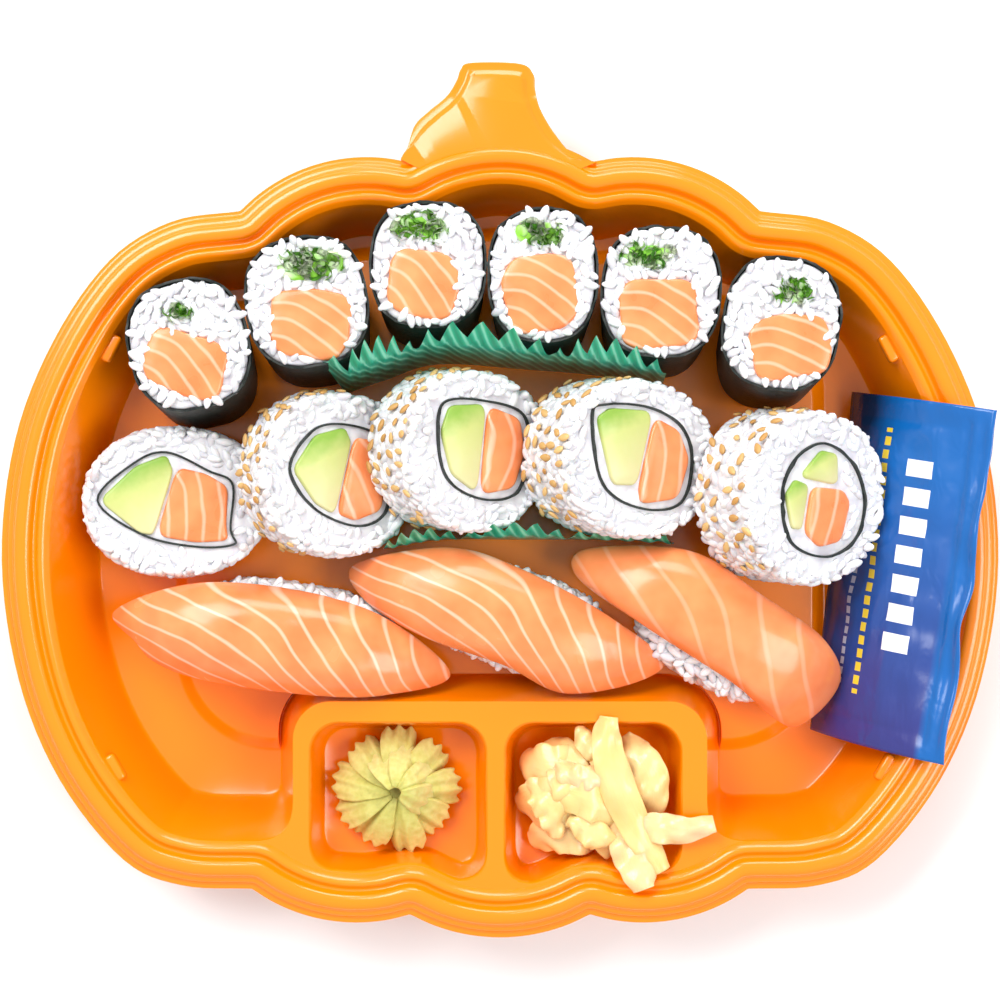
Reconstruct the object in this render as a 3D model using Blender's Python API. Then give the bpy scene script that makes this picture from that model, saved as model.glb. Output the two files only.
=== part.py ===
"""A pumpkin-shaped takeaway tray with its sushi, wasabi, ginger, leaf dividers and sauce sachet.

Everything is in metres with +Z up. The tray stands on Z = 0, its stem points to +Y, and the origin
is below the middle of its box. Sizes are written in millimetres times MM.
"""

import math

import bmesh
import bpy
import numpy as np
from mathutils import Matrix, Vector

MM = 0.001
GAP = 0.35 * MM

# Tray: one vacuum-formed sheet. A rim profile is (distance in from the edge, height of the top side).
SHEET = 1.2 * MM
DECK_TOP = 25.4 * MM
FLOOR_TOP = SHEET
PLATEAU_TOP = 4.2 * MM
NOTCH_RADIUS = 1.2 * MM
RIM_PROFILE = np.array(((0, 25.0), (1.3, 25.0), (1.9, 26.3), (3.1, 26.3), (3.8, 28.0), (7.0, 28.0),
                        (7.8, 25.8), (8.7, 25.8), (9.4, 26.9), (10.6, 26.9), (12.0, 25.4))) * MM
# Walls run down from the deck level: (share of the full draft, height).
WALL_PROFILE = ((0.0, DECK_TOP), (0.86, 4.0 * MM), (1.0, FLOOR_TOP))
WALL_DRAFT = 8.6 * MM
BACK_STEEPER = 0.42
PLATFORM_DRAFT = 5.0 * MM
PIT_PROFILE = ((0.0, DECK_TOP), (0.7, 12.4 * MM), (1.0, 10.8 * MM))
PIT_DRAFT = 3.2 * MM

# Edge of the tray, left half, from the top round to the bottom. Notches part the five lobes.
TOP_CENTRE = (0, 91.4 * MM)
TOP_NOTCH = (-23.4 * MM, 85.0 * MM)
SHOULDER = (-44.0 * MM, 84.9 * MM)
UPPER_NOTCH = (-65.3 * MM, 72.6 * MM)
OUTER_LOBE = np.array((UPPER_NOTCH, (-0.0826, 0.0699), (-0.0982, 0.0601), (-0.1122, 0.0400),
                       (-0.1219, 0.0149), (-0.1252, -0.0152), (-0.1209, -0.0453), (-0.1106, -0.0704),
                       (-0.0946, -0.0904), (-0.0800, -0.0968), (-0.0623, -0.0977)))
LOWER_NOTCH = tuple(OUTER_LOBE[-1])
HIP = (-42.5 * MM, -105.7 * MM)
BOTTOM_NOTCH = (-22.6 * MM, -104.1 * MM)
BOTTOM_CENTRE = (0, -110.0 * MM)
OUTER_STEPS = 10
INNER_STEPS = 4
CENTRE_STEPS = 4

# Platform with two pits, and the raised middle of the floor.
PLATFORM_HALF = 52.0 * MM
PLATFORM_TOP = -50.6 * MM
PLATFORM_CORNER = 9.5 * MM
PIT_TOP = -55.6 * MM
PIT_CORNER = 7.5 * MM
PIT_FROM_EDGE = 12.5 * MM
PITS = ((-48.1 * MM, -3.1 * MM), (0.9 * MM, 45.9 * MM))
PLATEAU_HALF = 85.0 * MM
PLATEAU_SIDE_END = 30.0 * MM
PLATEAU_BEHIND = 3.0 * MM
PLATEAU_FRONT = -65.7 * MM
PLATEAU_CORNER = 26.5 * MM
PLATEAU_SLOPE = 4.2 * MM

# Stem: a flat flange with a panel raised on it in two steps.
STEM_EDGE = np.array(((24.2, 84.7), (18.9, 86.2), (13.6, 92.3), (10.1, 98.4), (8.9, 103.0), (8.4, 107.0),
                      (4.9, 109.7), (-7.4, 110.0), (-9.9, 108.2), (-10.9, 105.5), (-13.4, 101.5),
                      (-17.9, 97.7), (-21.4, 94.2), (-23.2, 88.9), (-24.9, 85.4))) * MM
STEM_LIP = 3.0 * MM
STEM_LIP_TOP = 25.3 * MM
STEM_UNDER = 24.1 * MM
STEM_FOOT_INSET = 3.5 * MM
STEM_PANEL_TOP = 26.6 * MM
STEM_STEP_Y = 99.6 * MM
STEM_STEP = 0.7 * MM
NUBS = ((-98.0, 38.2, 28), (98.0, 38.2, -28), (-97.0, -67.4, -30), (97.0, -67.4, 30))
NUB_SIZE = (2.8 * MM, 7.2 * MM, 4.2 * MM)
NUB_HEIGHT = 22.3 * MM

# Small seaweed rolls standing on end: centre of the top, half width, half depth, turn in degrees,
# then the salmon and the spring onion, each as (right, back, half width, half depth, turn).
HOSOMAKI_TALL = 31.8 * MM
HOSOMAKI_LEAN = 5.2 * MM
HOSOMAKI_TAPER = 0.1
NORI = 0.5 * MM
HOSOMAKI = (
    (-77.0, 38.6, 15.2, 16.4, 12, (-0.6, -5.0, 10.4, 7.6, -18), (-2.2, 7.8, 3.0, 2.4, 0)),
    (-47.8, 49.2, 15.4, 16.4, 8, (1.0, -5.4, 10.0, 8.4, -4), (1.0, 9.0, 8.6, 3.8, 6)),
    (-17.8, 58.4, 14.6, 15.8, 0, (-1.4, -5.2, 8.8, 8.4, -10), (-1.8, 8.9, 7.4, 3.4, -6)),
    (10.6, 55.8, 13.8, 16.8, 0, (-0.6, -4.6, 9.4, 9.4, 4), (-1.0, 10.3, 6.2, 3.2, -4)),
    (39.8, 51.6, 15.0, 16.4, -4, (-0.6, -5.4, 9.8, 8.8, 5), (-3.6, 8.8, 6.6, 3.0, 2)),
    (69.6, 43.8, 14.8, 16.8, -8, (1.8, -6.0, 9.8, 8.0, 8), (2.4, 7.6, 4.6, 3.0, 14)),
)

# Large rolls with the rice outside, the first one flat and the rest shingled on it: right edge on
# the floor, middle from front to back, diameter along the lean, diameter across, length, lean, turn.
URAMAKI = (
    (-60.2, -0.5, 47.4, 38.6, 17.2, 8, 0),
    (-28.0, 6.8, 44.0, 42.0, 15.4, 30, -5),
    (2.6, 12.8, 43.4, 40.8, 19.4, 33, -5),
    (43.6, 11.0, 45.0, 40.0, 22.4, 30, -5),
    (85.2, 1.4, 44.6, 43.8, 22.6, 33, -5),
)
# Nori outline of each, then avocado and salmon inside it, as shares of the two half diameters.
NORI_LOOPS = (
    ((-0.84, 0.02), (-0.45, 0.52), (-0.10, 0.66), (0.34, 0.42), (0.60, 0.24), (0.58, -0.34),
     (0.62, -0.56), (0.22, -0.60), (-0.36, -0.44)),
    ((-0.66, 0.02), (-0.42, 0.50), (-0.02, 0.62), (0.46, 0.50), (0.62, 0.05), (0.60, -0.42),
     (0.24, -0.60), (-0.32, -0.42)),
    ((-0.58, 0.20), (-0.50, 0.58), (0.06, 0.64), (0.58, 0.52), (0.68, 0.05), (0.58, -0.46),
     (0.10, -0.58), (-0.40, -0.36)),
    ((-0.70, 0.46), (-0.52, 0.64), (0.05, 0.66), (0.50, 0.46), (0.68, 0.05), (0.58, -0.50),
     (0.06, -0.62), (-0.48, -0.36)),
    ((-0.52, 0.02), (-0.36, 0.44), (0.02, 0.64), (0.46, 0.46), (0.70, 0.04), (0.62, -0.42),
     (0.20, -0.66), (-0.34, -0.52)),
)
AVOCADOS = (
    (((-0.78, 0.02), (-0.42, 0.44), (-0.12, 0.58), (-0.06, 0.40), (-0.26, -0.40), (-0.38, -0.38)),),
    (((-0.58, 0.02), (-0.36, 0.42), (-0.02, 0.54), (0.06, 0.40), (-0.06, -0.44), (-0.28, -0.34)),),
    (((-0.50, 0.20), (-0.42, 0.50), (0.02, 0.56), (0.00, -0.46), (-0.32, -0.28)),),
    (((-0.60, 0.44), (-0.46, 0.56), (0.06, 0.58), (-0.06, -0.30), (-0.34, -0.32)),),
    (((-0.24, 0.24), (0.00, 0.52), (0.20, 0.50), (0.24, 0.20)),
     ((-0.44, 0.00), (-0.34, 0.16), (-0.18, 0.12), (-0.22, -0.34), (-0.32, -0.34))),
)
SALMONS = (
    ((0.02, 0.42), (0.30, 0.34), (0.52, 0.18), (0.50, -0.30), (0.52, -0.48), (0.20, -0.50), (-0.18, -0.42)),
    ((0.14, 0.44), (0.40, 0.42), (0.54, 0.05), (0.52, -0.36), (0.22, -0.50), (0.02, -0.44)),
    ((0.10, 0.54), (0.50, 0.44), (0.60, 0.05), (0.50, -0.38), (0.10, -0.48)),
    ((0.14, 0.50), (0.44, 0.38), (0.60, 0.05), (0.50, -0.42), (0.06, -0.52), (0.02, -0.36)),
    ((-0.08, 0.10), (0.34, 0.10), (0.44, -0.02), (0.36, -0.44), (0.08, -0.52), (-0.12, -0.38)),
)
CORE_RICE = ((0.34, 0.44), (0.50, 0.30), (0.60, 0.02), (0.54, -0.34), (0.46, -0.44), (0.54, -0.02), (0.42, 0.18))

# Nigiri: a pressed block of rice under a draped slice of salmon: turn of the slice and its edge in
# plan, then centre, half length, half width and turn of the rice.
NIGIRI = (
    (-11.5, ((-98.0, -28.0), (-72.0, -20.6), (-34.0, -27.2), (-12.6, -44.0), (-28.5, -49.0),
             (-47.0, -49.0), (-75.0, -45.2), (-87.0, -41.0), (-92.0, -36.0)),
     -51.6, -33.4, 25.0, 12.0, -10),
    (-19, ((-37.0, -16.4), (-13.0, -11.9), (6.0, -17.6), (28.6, -30.0), (41.6, -42.6), (17.4, -48.8),
           (1.0, -41.4), (-20.0, -34.0), (-34.6, -25.0)),
     4.0, -30.4, 23.5, 12.6, -19),
    (-25, ((19.4, -19.4), (22.4, -12.3), (48.0, -12.8), (66.0, -24.0), (81.6, -35.0), (86.6, -46.6),
           (76.0, -57.6), (68.0, -54.2), (58.0, -45.6), (36.0, -31.4)),
     55.4, -35.0, 21.0, 12.8, -27),
)
NIGIRI_RICE_TALL = 21.0 * MM
SLICE_THICK = 6.0 * MM
SLICE_LIFT = 1.4 * MM

# Leaf dividers: plan of the foot, plan of the tips, and the height of the tips.
DIVIDER_THICK = 0.4 * MM
DIVIDERS = (
    (((-40.0, 27.6), (-30.0, 31.0), (-16.0, 35.2), (8.0, 33.8), (26.0, 32.2), (42.0, 29.2)),
     ((-40.6, 31.2), (-30.0, 35.4), (-16.0, 39.4), (8.0, 37.2), (24.0, 35.4), (41.0, 32.4)), 43.0, 17),
    (((-29.5, -12.6), (-16.0, -10.4), (4.0, -10.3), (24.0, -10.3), (44.0, -10.6)),
     ((-29.5, -12.2), (-16.0, -9.8), (4.0, -8.8), (24.0, -9.6), (44.0, -11.0)), 34.0, 15),
)

# Sauce sachet: corners on the seam plane, thickness of the pillow and width of the seals.
SACHET_CORNERS = np.array(((91.4, 28.0, 6.2), (122.4, 22.0, 38.0), (109.4, -65.4, 36.0), (80.4, -59.4, 6.2))) * MM
SACHET_THICK = 4.6 * MM
SACHET_EDGE = 0.7 * MM
SACHET_BOW = 4.6 * MM

# Wasabi rosette and ginger heap.
WASABI_CENTRE = (-26.3 * MM, -73.6 * MM)
WASABI_RADIUS = 16.0 * MM
WASABI_TALL = 13.5 * MM
WASABI_PETALS = 10
GINGER_CENTRE = (21.5 * MM, -73.5 * MM)
GINGER_HALF = (17.4 * MM, 14.6 * MM)
GINGER_TALL = 16.5 * MM
GINGER_TONGUES = (
    (((30.0, -79.0, 25.4), (40.0, -80.6, 28.2), (48.0, -82.4, 29.6), (54.0, -81.0, 30.4)), 8.0),
    (((29.0, -80.0, 25.2), (31.5, -87.0, 28.0), (33.5, -92.5, 30.0), (35.0, -97.6, 30.6)), 9.0),
    (((24.0, -64.0, 25.6), (25.6, -59.0, 27.6), (27.4, -54.0, 28.6)), 5.0),
)
TONGUE_THICK = 1.6 * MM
PIT_FLOOR = PIT_PROFILE[-1][1]

# How finely round things are stepped.
ROLL_STEPS = 18
NORI_STEPS = 14
FILLING_STEPS = 10
SLICE_STEPS = 16
SLICE_SHARES = (0.35, 0.7, 0.92, 1.0)
URAMAKI_EDGE = 3.0 * MM


def clear_scene():
    for obj in list(bpy.data.objects):
        bpy.data.objects.remove(obj, do_unlink=True)


def linear(channel):
    return channel / 12.92 if channel <= 0.04045 else ((channel + 0.055) / 1.055) ** 2.4


def material(name, colour, roughness, metallic=0.0):
    """A Principled material from an sRGB hex colour."""
    made = bpy.data.materials.new(name)
    made.use_nodes = True
    shader = made.node_tree.nodes["Principled BSDF"]
    channels = [linear(int(colour[at:at + 2], 16) / 255) for at in (0, 2, 4)]
    shader.inputs["Base Color"].default_value = (*channels, 1.0)
    shader.inputs["Roughness"].default_value = roughness
    shader.inputs["Metallic"].default_value = metallic
    made.diffuse_color = (*channels, 1.0)
    return made


def make_object(name, bm, finish, smooth_angle=40):
    """Turns a closed bmesh into a named object with its faces pointing out."""
    bmesh.ops.recalc_face_normals(bm, faces=bm.faces[:])
    if bm.calc_volume(signed=True) < 0:
        bmesh.ops.reverse_faces(bm, faces=bm.faces[:])
    mesh = bpy.data.meshes.new(name)
    bm.to_mesh(mesh)
    bm.free()
    mesh.materials.append(finish)
    mesh.shade_smooth()
    mesh.set_sharp_from_angle(angle=math.radians(smooth_angle))
    obj = bpy.data.objects.new(name, mesh)
    bpy.context.scene.collection.objects.link(obj)
    return obj


def add_loop(bm, points, height=None):
    """Adds a closed loop of vertices; 2-D points take the given height."""
    if height is None:
        return [bm.verts.new(point) for point in points]
    return [bm.verts.new((point[0], point[1], height)) for point in points]


def bridge(bm, first, second):
    """Faces between two loops that have the same number of vertices."""
    count = len(first)
    for at in range(count):
        after = (at + 1) % count
        bm.faces.new((first[at], first[after], second[after], second[at]))


def loop_edges(bm, loop):
    edges = []
    for at, vert in enumerate(loop):
        other = loop[(at + 1) % len(loop)]
        edges.append(bm.edges.get((vert, other)) or bm.edges.new((vert, other)))
    return edges


def fill(bm, *loops):
    """Fills a flat region: the first loop is its border and the others are holes."""
    edges = [edge for loop in loops for edge in loop_edges(bm, loop)]
    bmesh.ops.triangle_fill(bm, use_beauty=True, use_dissolve=False, edges=edges)


def arc(centre, radius, start, end, steps):
    """Points on a circular arc, both ends included, with the angles in degrees."""
    angles = np.radians(np.linspace(start, end, steps + 1))
    return [(centre[0] + radius * math.cos(a), centre[1] + radius * math.sin(a)) for a in angles]


def quadratic(start, control, end, steps):
    """Points inside a quadratic curve, without its ends."""
    start, control, end = (np.array(point, float) for point in (start, control, end))
    shares = np.linspace(0, 1, steps + 2)[1:-1]
    return [tuple((1 - t) ** 2 * start + 2 * t * (1 - t) * control + t * t * end) for t in shares]


def spline(knots, share):
    """A point on the smooth curve through the knots, for a share from 0 to 1."""
    place = share * (len(knots) - 1)
    at = min(int(place), len(knots) - 2)
    t = place - at
    before = knots[at - 1] if at else 2 * knots[0] - knots[1]
    after = knots[at + 2] if at + 2 < len(knots) else 2 * knots[-1] - knots[-2]
    here, there = knots[at], knots[at + 1]
    slope_here, slope_there = (there - before) / 2, (after - here) / 2
    return ((2 * t**3 - 3 * t**2 + 1) * here + (t**3 - 2 * t**2 + t) * slope_here
            + (3 * t**2 - 2 * t**3) * there + (t**3 - t**2) * slope_there)


def lobe(knots, steps):
    """Points and inward normals along one lobe, from notch to notch, anticlockwise."""
    knots = [np.array(knot, float) for knot in knots]
    shares = np.linspace(0, 1, steps + 1)
    nudge = 1e-3
    points = [spline(knots, share) for share in shares]
    normals = []
    for share in shares:
        along = spline(knots, min(share + nudge, 1)) - spline(knots, max(share - nudge, 0))
        along /= np.linalg.norm(along)
        normals.append(np.array((-along[1], along[0])))
    return points, normals


def arc_knots(start, middle, end, count=5):
    """Knots on the circle through three points."""
    (ax, ay), (bx, by), (cx, cy) = start, middle, end
    twice = 2 * (ax * (by - cy) + bx * (cy - ay) + cx * (ay - by))
    squares = [x * x + y * y for x, y in (start, middle, end)]
    centre = ((squares[0] * (by - cy) + squares[1] * (cy - ay) + squares[2] * (ay - by)) / twice,
              (squares[0] * (cx - bx) + squares[1] * (ax - cx) + squares[2] * (bx - ax)) / twice)
    radius = math.dist(centre, start)
    first, last = (math.atan2(p[1] - centre[1], p[0] - centre[0]) for p in (start, end))
    last = first + (last - first) % math.tau
    return [(centre[0] + radius * math.cos(a), centre[1] + radius * math.sin(a))
            for a in np.linspace(first, last, count)]


def mirrored(points):
    return [(-x, y) for x, y in reversed(points)]


def tray_outline():
    """Points, inward normals and notch marks round the tray's edge, anticlockwise from its top."""
    half_top = arc_knots((-TOP_NOTCH[0], TOP_NOTCH[1]), TOP_CENTRE, TOP_NOTCH)
    shoulder = arc_knots(TOP_NOTCH, SHOULDER, UPPER_NOTCH)
    hip = arc_knots(LOWER_NOTCH, HIP, BOTTOM_NOTCH)
    bottom = arc_knots(BOTTOM_NOTCH, BOTTOM_CENTRE, (-BOTTOM_NOTCH[0], BOTTOM_NOTCH[1]))
    outer = [tuple(point) for point in OUTER_LOBE]
    lobes = ((half_top, CENTRE_STEPS), (shoulder, INNER_STEPS), (outer, OUTER_STEPS), (hip, INNER_STEPS),
             (bottom, CENTRE_STEPS), (mirrored(hip), INNER_STEPS), (mirrored(outer), OUTER_STEPS),
             (mirrored(shoulder), INNER_STEPS))
    sampled = [lobe(knots, steps) for knots, steps in lobes]
    points, normals, notches = [], [], []
    for at, (lobe_points, lobe_normals) in enumerate(sampled):
        next_normals = sampled[(at + 1) % len(sampled)][1]
        points += lobe_points[1:-1]
        normals += lobe_normals[1:-1]
        ending, starting = lobe_normals[-1], next_normals[0]
        middle = (ending + starting) / np.linalg.norm(ending + starting)
        centre = lobe_points[-1] - middle * NOTCH_RADIUS / float(np.dot(middle, ending))
        notches.append(len(points))
        for normal in (ending, middle, starting):
            points.append(centre + NOTCH_RADIUS * normal)
            normals.append(normal)
    return np.array(points), np.array(normals), notches


def pit_loop(points, normals, left, right, inset):
    """One pit's outline: straight sides, round corners, and a foot that follows the tray's edge."""
    near = [at for at, (x, y) in enumerate(points + normals * PIT_FROM_EDGE)
            if y < PIT_TOP - 20 * MM and left + PIT_CORNER * 0.9 < x < right - PIT_CORNER * 0.9]
    foot = [tuple(points[at] + normals[at] * (PIT_FROM_EDGE + inset)) for at in near]
    left, right, top = left + inset, right - inset, PIT_TOP - inset
    radius = PIT_CORNER - inset * 0.4
    loop = arc((right - radius, top - radius), radius, 0, 90, 3)
    loop += arc((left + radius, top - radius), radius, 90, 180, 3)
    loop.append((left, foot[0][1] + radius))
    loop += quadratic(loop[-1], (left, foot[0][1]), foot[0], 2)
    loop += foot
    corner_end = (right, foot[-1][1] + radius)
    loop += quadratic(foot[-1], (right, foot[-1][1]), corner_end, 2)
    loop.append(corner_end)
    return loop


def platform_path(share):
    """The platform's side of the cavity, from its left foot over its top to its right foot."""
    grow = share * PLATFORM_DRAFT
    half, top = PLATFORM_HALF + grow, PLATFORM_TOP + grow
    radius = PLATFORM_CORNER + grow
    path = arc((-half + radius, top - radius), radius, 180, 90, 4)
    path += arc((half - radius, top - radius), radius, 90, 0, 4)
    return path


def cavity_loop(points, normals, notches, share):
    """The cavity's outline at a share of the draft: the outer wall, then the platform's walls."""
    rim_end = RIM_PROFILE[-1][0]
    ring = points + normals * (rim_end + share * wall_draft(normals))
    left_foot, right_foot = notches[2], notches[5] + 2
    outer = [tuple(p) for p in np.concatenate([ring[right_foot:], ring[:left_foot + 1]])]
    half = PLATFORM_HALF + share * PLATFORM_DRAFT
    fillet = (1 - share) * 6.5 * MM + 3.5 * MM
    path = platform_path(share)
    left_corner, right_corner = (-half, outer[-1][1]), (half, outer[0][1])
    left_side = (-half, left_corner[1] + fillet)
    right_side = (half, right_corner[1] + fillet)
    loop = outer + quadratic(outer[-1], left_corner, left_side, 3) + [left_side] + path
    return loop + [right_side] + quadratic(right_side, right_corner, outer[0], 3), len(outer)


def wall_draft(normals):
    """How far the wall leans in, a column of one number a point: the back wall is the steepest."""
    return WALL_DRAFT * (1 - BACK_STEEPER * np.clip(-normals[:, 1:], 0, 1))


def plateau_loop(points, normals, inset):
    """The raised floor's outline: straight sides, a back that follows the wall, and the platform cut out."""
    half, front = PLATEAU_HALF - inset, PLATEAU_FRONT + inset
    radius = PLATEAU_CORNER - inset
    floor_edge = RIM_PROFILE[-1][0] + wall_draft(normals) + PLATEAU_BEHIND
    back = [at for at, (x, y) in enumerate(points + normals * floor_edge)
            if y > PLATEAU_SIDE_END and abs(x) < PLATEAU_HALF - 2 * MM]
    back = [at for at in back if at > len(points) // 2] + [at for at in back if at < len(points) // 2]
    beside = GAP + 0.06 * inset
    grow = PLATFORM_DRAFT + beside
    inner_half, inner_top, inner_radius = PLATFORM_HALF + grow, PLATFORM_TOP + grow, PLATFORM_CORNER + grow
    loop = arc((half - radius, front + radius), radius, -90, 0, 5)
    loop.append((half, PLATEAU_SIDE_END - inset))
    loop += [tuple(points[at] + normals[at] * (floor_edge[at] + inset)) for at in back]
    loop.append((-half, PLATEAU_SIDE_END - inset))
    loop += arc((-half + radius, front + radius), radius, 180, 270, 5)
    loop.append((-inner_half, front))
    loop += arc((-inner_half + inner_radius, inner_top - inner_radius), inner_radius, 180, 90, 4)
    loop += arc((inner_half - inner_radius, inner_top - inner_radius), inner_radius, 90, 0, 4)
    loop.append((inner_half, front))
    return loop


def thicken(bm, depth):
    """Turns an open sheet into a closed solid by carrying it straight down."""
    made = bmesh.ops.extrude_face_region(bm, geom=bm.faces[:])
    low = [item for item in made["geom"] if isinstance(item, bmesh.types.BMVert)]
    bmesh.ops.translate(bm, verts=low, vec=(0, 0, -depth))


def join(obj, other):
    """Boolean union; the other object stays behind as a hidden helper."""
    other.hide_render = True
    other.display_type = "WIRE"
    union = obj.modifiers.new("join " + other.name, "BOOLEAN")
    union.operation = "UNION"
    union.solver = "MANIFOLD"
    union.object = other


def make_tray(finish):
    points, normals, notches = tray_outline()
    bm = bmesh.new()
    rings = [add_loop(bm, points + normals * inset, height) for inset, height in RIM_PROFILE]
    for outer, inner in zip(rings, rings[1:]):
        bridge(bm, outer, inner)

    deck_ring = rings[-1]
    left_foot, right_foot = notches[2], notches[5] + 2
    walls = []
    for share, height in WALL_PROFILE:
        loop, outer_count = cavity_loop(points, normals, notches, share)
        if walls:
            walls.append(add_loop(bm, loop, height))
            continue
        shared = deck_ring[right_foot:] + deck_ring[:left_foot + 1]
        walls.append(shared + add_loop(bm, loop[outer_count:], height))
    for upper, lower in zip(walls, walls[1:]):
        bridge(bm, upper, lower)

    pit_tops = []
    for left, right in PITS:
        loops = [add_loop(bm, pit_loop(points, normals, left, right, share * PIT_DRAFT), height)
                 for share, height in PIT_PROFILE]
        for upper, lower in zip(loops, loops[1:]):
            bridge(bm, upper, lower)
        fill(bm, loops[-1])
        pit_tops.append(loops[0])
    platform_side = list(reversed(walls[0][outer_count:]))
    fill(bm, deck_ring[left_foot:right_foot + 1] + platform_side, *pit_tops)

    plateau_foot = add_loop(bm, plateau_loop(points, normals, 0), FLOOR_TOP)
    plateau_edge = add_loop(bm, plateau_loop(points, normals, PLATEAU_SLOPE), PLATEAU_TOP)
    bridge(bm, plateau_foot, plateau_edge)
    fill(bm, walls[-1], plateau_foot)
    fill(bm, plateau_edge)
    thicken(bm, SHEET)
    tray = make_object("tray", bm, finish)

    join(tray, make_stem(finish))
    for number, (x, y, turn) in enumerate(NUBS, 1):
        join(tray, make_nub(f"nub_{number}", x, y, turn, finish))
    return tray


def inset_outline(outline, distance):
    """Moves each point of a closed anticlockwise outline inwards along its own normal."""
    along = np.roll(outline, -1, axis=0) - np.roll(outline, 1, axis=0)
    along /= np.linalg.norm(along, axis=1)[:, None]
    return outline + distance * np.stack([-along[:, 1], along[:, 0]], axis=1)


def make_stem(finish):
    """The stem's flange with its panel, closed below; its foot lies inside the rim's outer steps."""
    along_rim, inwards = lobe(arc_knots((-TOP_NOTCH[0], TOP_NOTCH[1]), TOP_CENTRE, TOP_NOTCH), 8)
    foot = (np.array(along_rim) + np.array(inwards) * STEM_FOOT_INSET)[-2:0:-1]
    outline = np.concatenate([STEM_EDGE, foot])
    panel = inset_outline(outline, STEM_LIP)
    panel[-len(foot):] = foot
    bm = bmesh.new()
    under = add_loop(bm, outline, STEM_UNDER)
    lip = add_loop(bm, outline, STEM_LIP_TOP)
    panel_foot = add_loop(bm, panel * 0.7 + outline * 0.3, STEM_LIP_TOP)
    top = []
    for x, y in panel:
        lower_step = STEM_STEP if y > STEM_STEP_Y else 0
        top.append(bm.verts.new((x, y, STEM_PANEL_TOP - lower_step)))
    bridge(bm, under, lip)
    count = len(outline)
    for at in range(count):
        after = (at + 1) % count
        bm.faces.new((lip[at], lip[after], panel_foot[after], panel_foot[at]))
        bm.faces.new((panel_foot[at], panel_foot[after], top[after], top[at]))
    bm.faces.new(list(reversed(under)))
    bmesh.ops.triangle_fill(bm, use_beauty=True, edges=loop_edges(bm, top))
    return make_object("stem", bm, finish)


def make_nub(name, x, y, turn, finish):
    """A small round-edged bump on the wall that holds the lid."""
    bm = bmesh.new()
    bmesh.ops.create_cube(bm, size=1)
    bmesh.ops.scale(bm, vec=NUB_SIZE, verts=bm.verts[:])
    bmesh.ops.bevel(bm, geom=bm.edges[:], offset=0.8 * MM, segments=1, affect="EDGES", profile=0.5, material=-1)
    place = Matrix.Translation((x * MM, y * MM, NUB_HEIGHT)) @ Matrix.Rotation(math.radians(-turn), 4, "Z")
    bmesh.ops.transform(bm, matrix=place, verts=bm.verts[:])
    return make_object(name, bm, finish)


def superellipse(half_width, half_depth, steps, power=2.4, turn=0.0):
    """An anticlockwise outline between an ellipse and a rounded rectangle."""
    outline = []
    for angle in np.linspace(0, math.tau, steps, endpoint=False):
        c, s = math.cos(angle), math.sin(angle)
        x = half_width * math.copysign(abs(c) ** (2 / power), c)
        y = half_depth * math.copysign(abs(s) ** (2 / power), s)
        outline.append((x, y))
    return turned(np.array(outline), turn)


def turned(outline, degrees):
    a = math.radians(degrees)
    return outline @ np.array(((math.cos(a), math.sin(a)), (-math.sin(a), math.cos(a))))


def wobbly(outline, share, waves, phase=0.0):
    """The outline with a gentle uneven edge."""
    centre = outline.mean(axis=0)
    angles = np.linspace(0, math.tau, len(outline), endpoint=False)
    swell = 1 + share * (np.sin(waves * angles + phase) + 0.6 * np.sin((waves + 2) * angles + 2 * phase))
    return centre + (outline - centre) * swell[:, None]


def stack(levels, holes=(), hole_heights=None):
    """A closed solid from outlines at rising heights, with holes that run through it."""
    bm = bmesh.new()
    loops = [add_loop(bm, outline, height) for outline, height in levels]
    for lower, upper in zip(loops, loops[1:]):
        bridge(bm, lower, upper)
    bottoms, tops = [], []
    for hole in holes:
        bottoms.append(add_loop(bm, hole, levels[0][1]))
        tops.append(add_loop(bm, hole, levels[-1][1]))
        bridge(bm, bottoms[-1], tops[-1])
    fill(bm, loops[0], *bottoms)
    fill(bm, loops[-1], *tops)
    return bm


def smooth_outline(knots, steps):
    """A smooth closed outline through a few knots."""
    knots = [np.array(knot, float) for knot in knots]
    count = len(knots)
    outline = []
    for place in np.linspace(0, count, steps, endpoint=False):
        at, t = int(place), place - int(place)
        a, b, c, d = (knots[(at + k) % count] for k in (-1, 0, 1, 2))
        outline.append(0.5 * (2 * b + (c - a) * t + (2 * a - 5 * b + 4 * c - d) * t**2
                              + (3 * b - a - 3 * c + d) * t**3))
    return np.array(outline)


def anticlockwise(outline):
    x, y = outline[:, 0], outline[:, 1]
    area = float(np.sum(x * np.roll(y, -1) - np.roll(x, -1) * y))
    return outline if area > 0 else outline[::-1]


def grown(outline, distance):
    return inset_outline(anticlockwise(outline), -distance)


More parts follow.
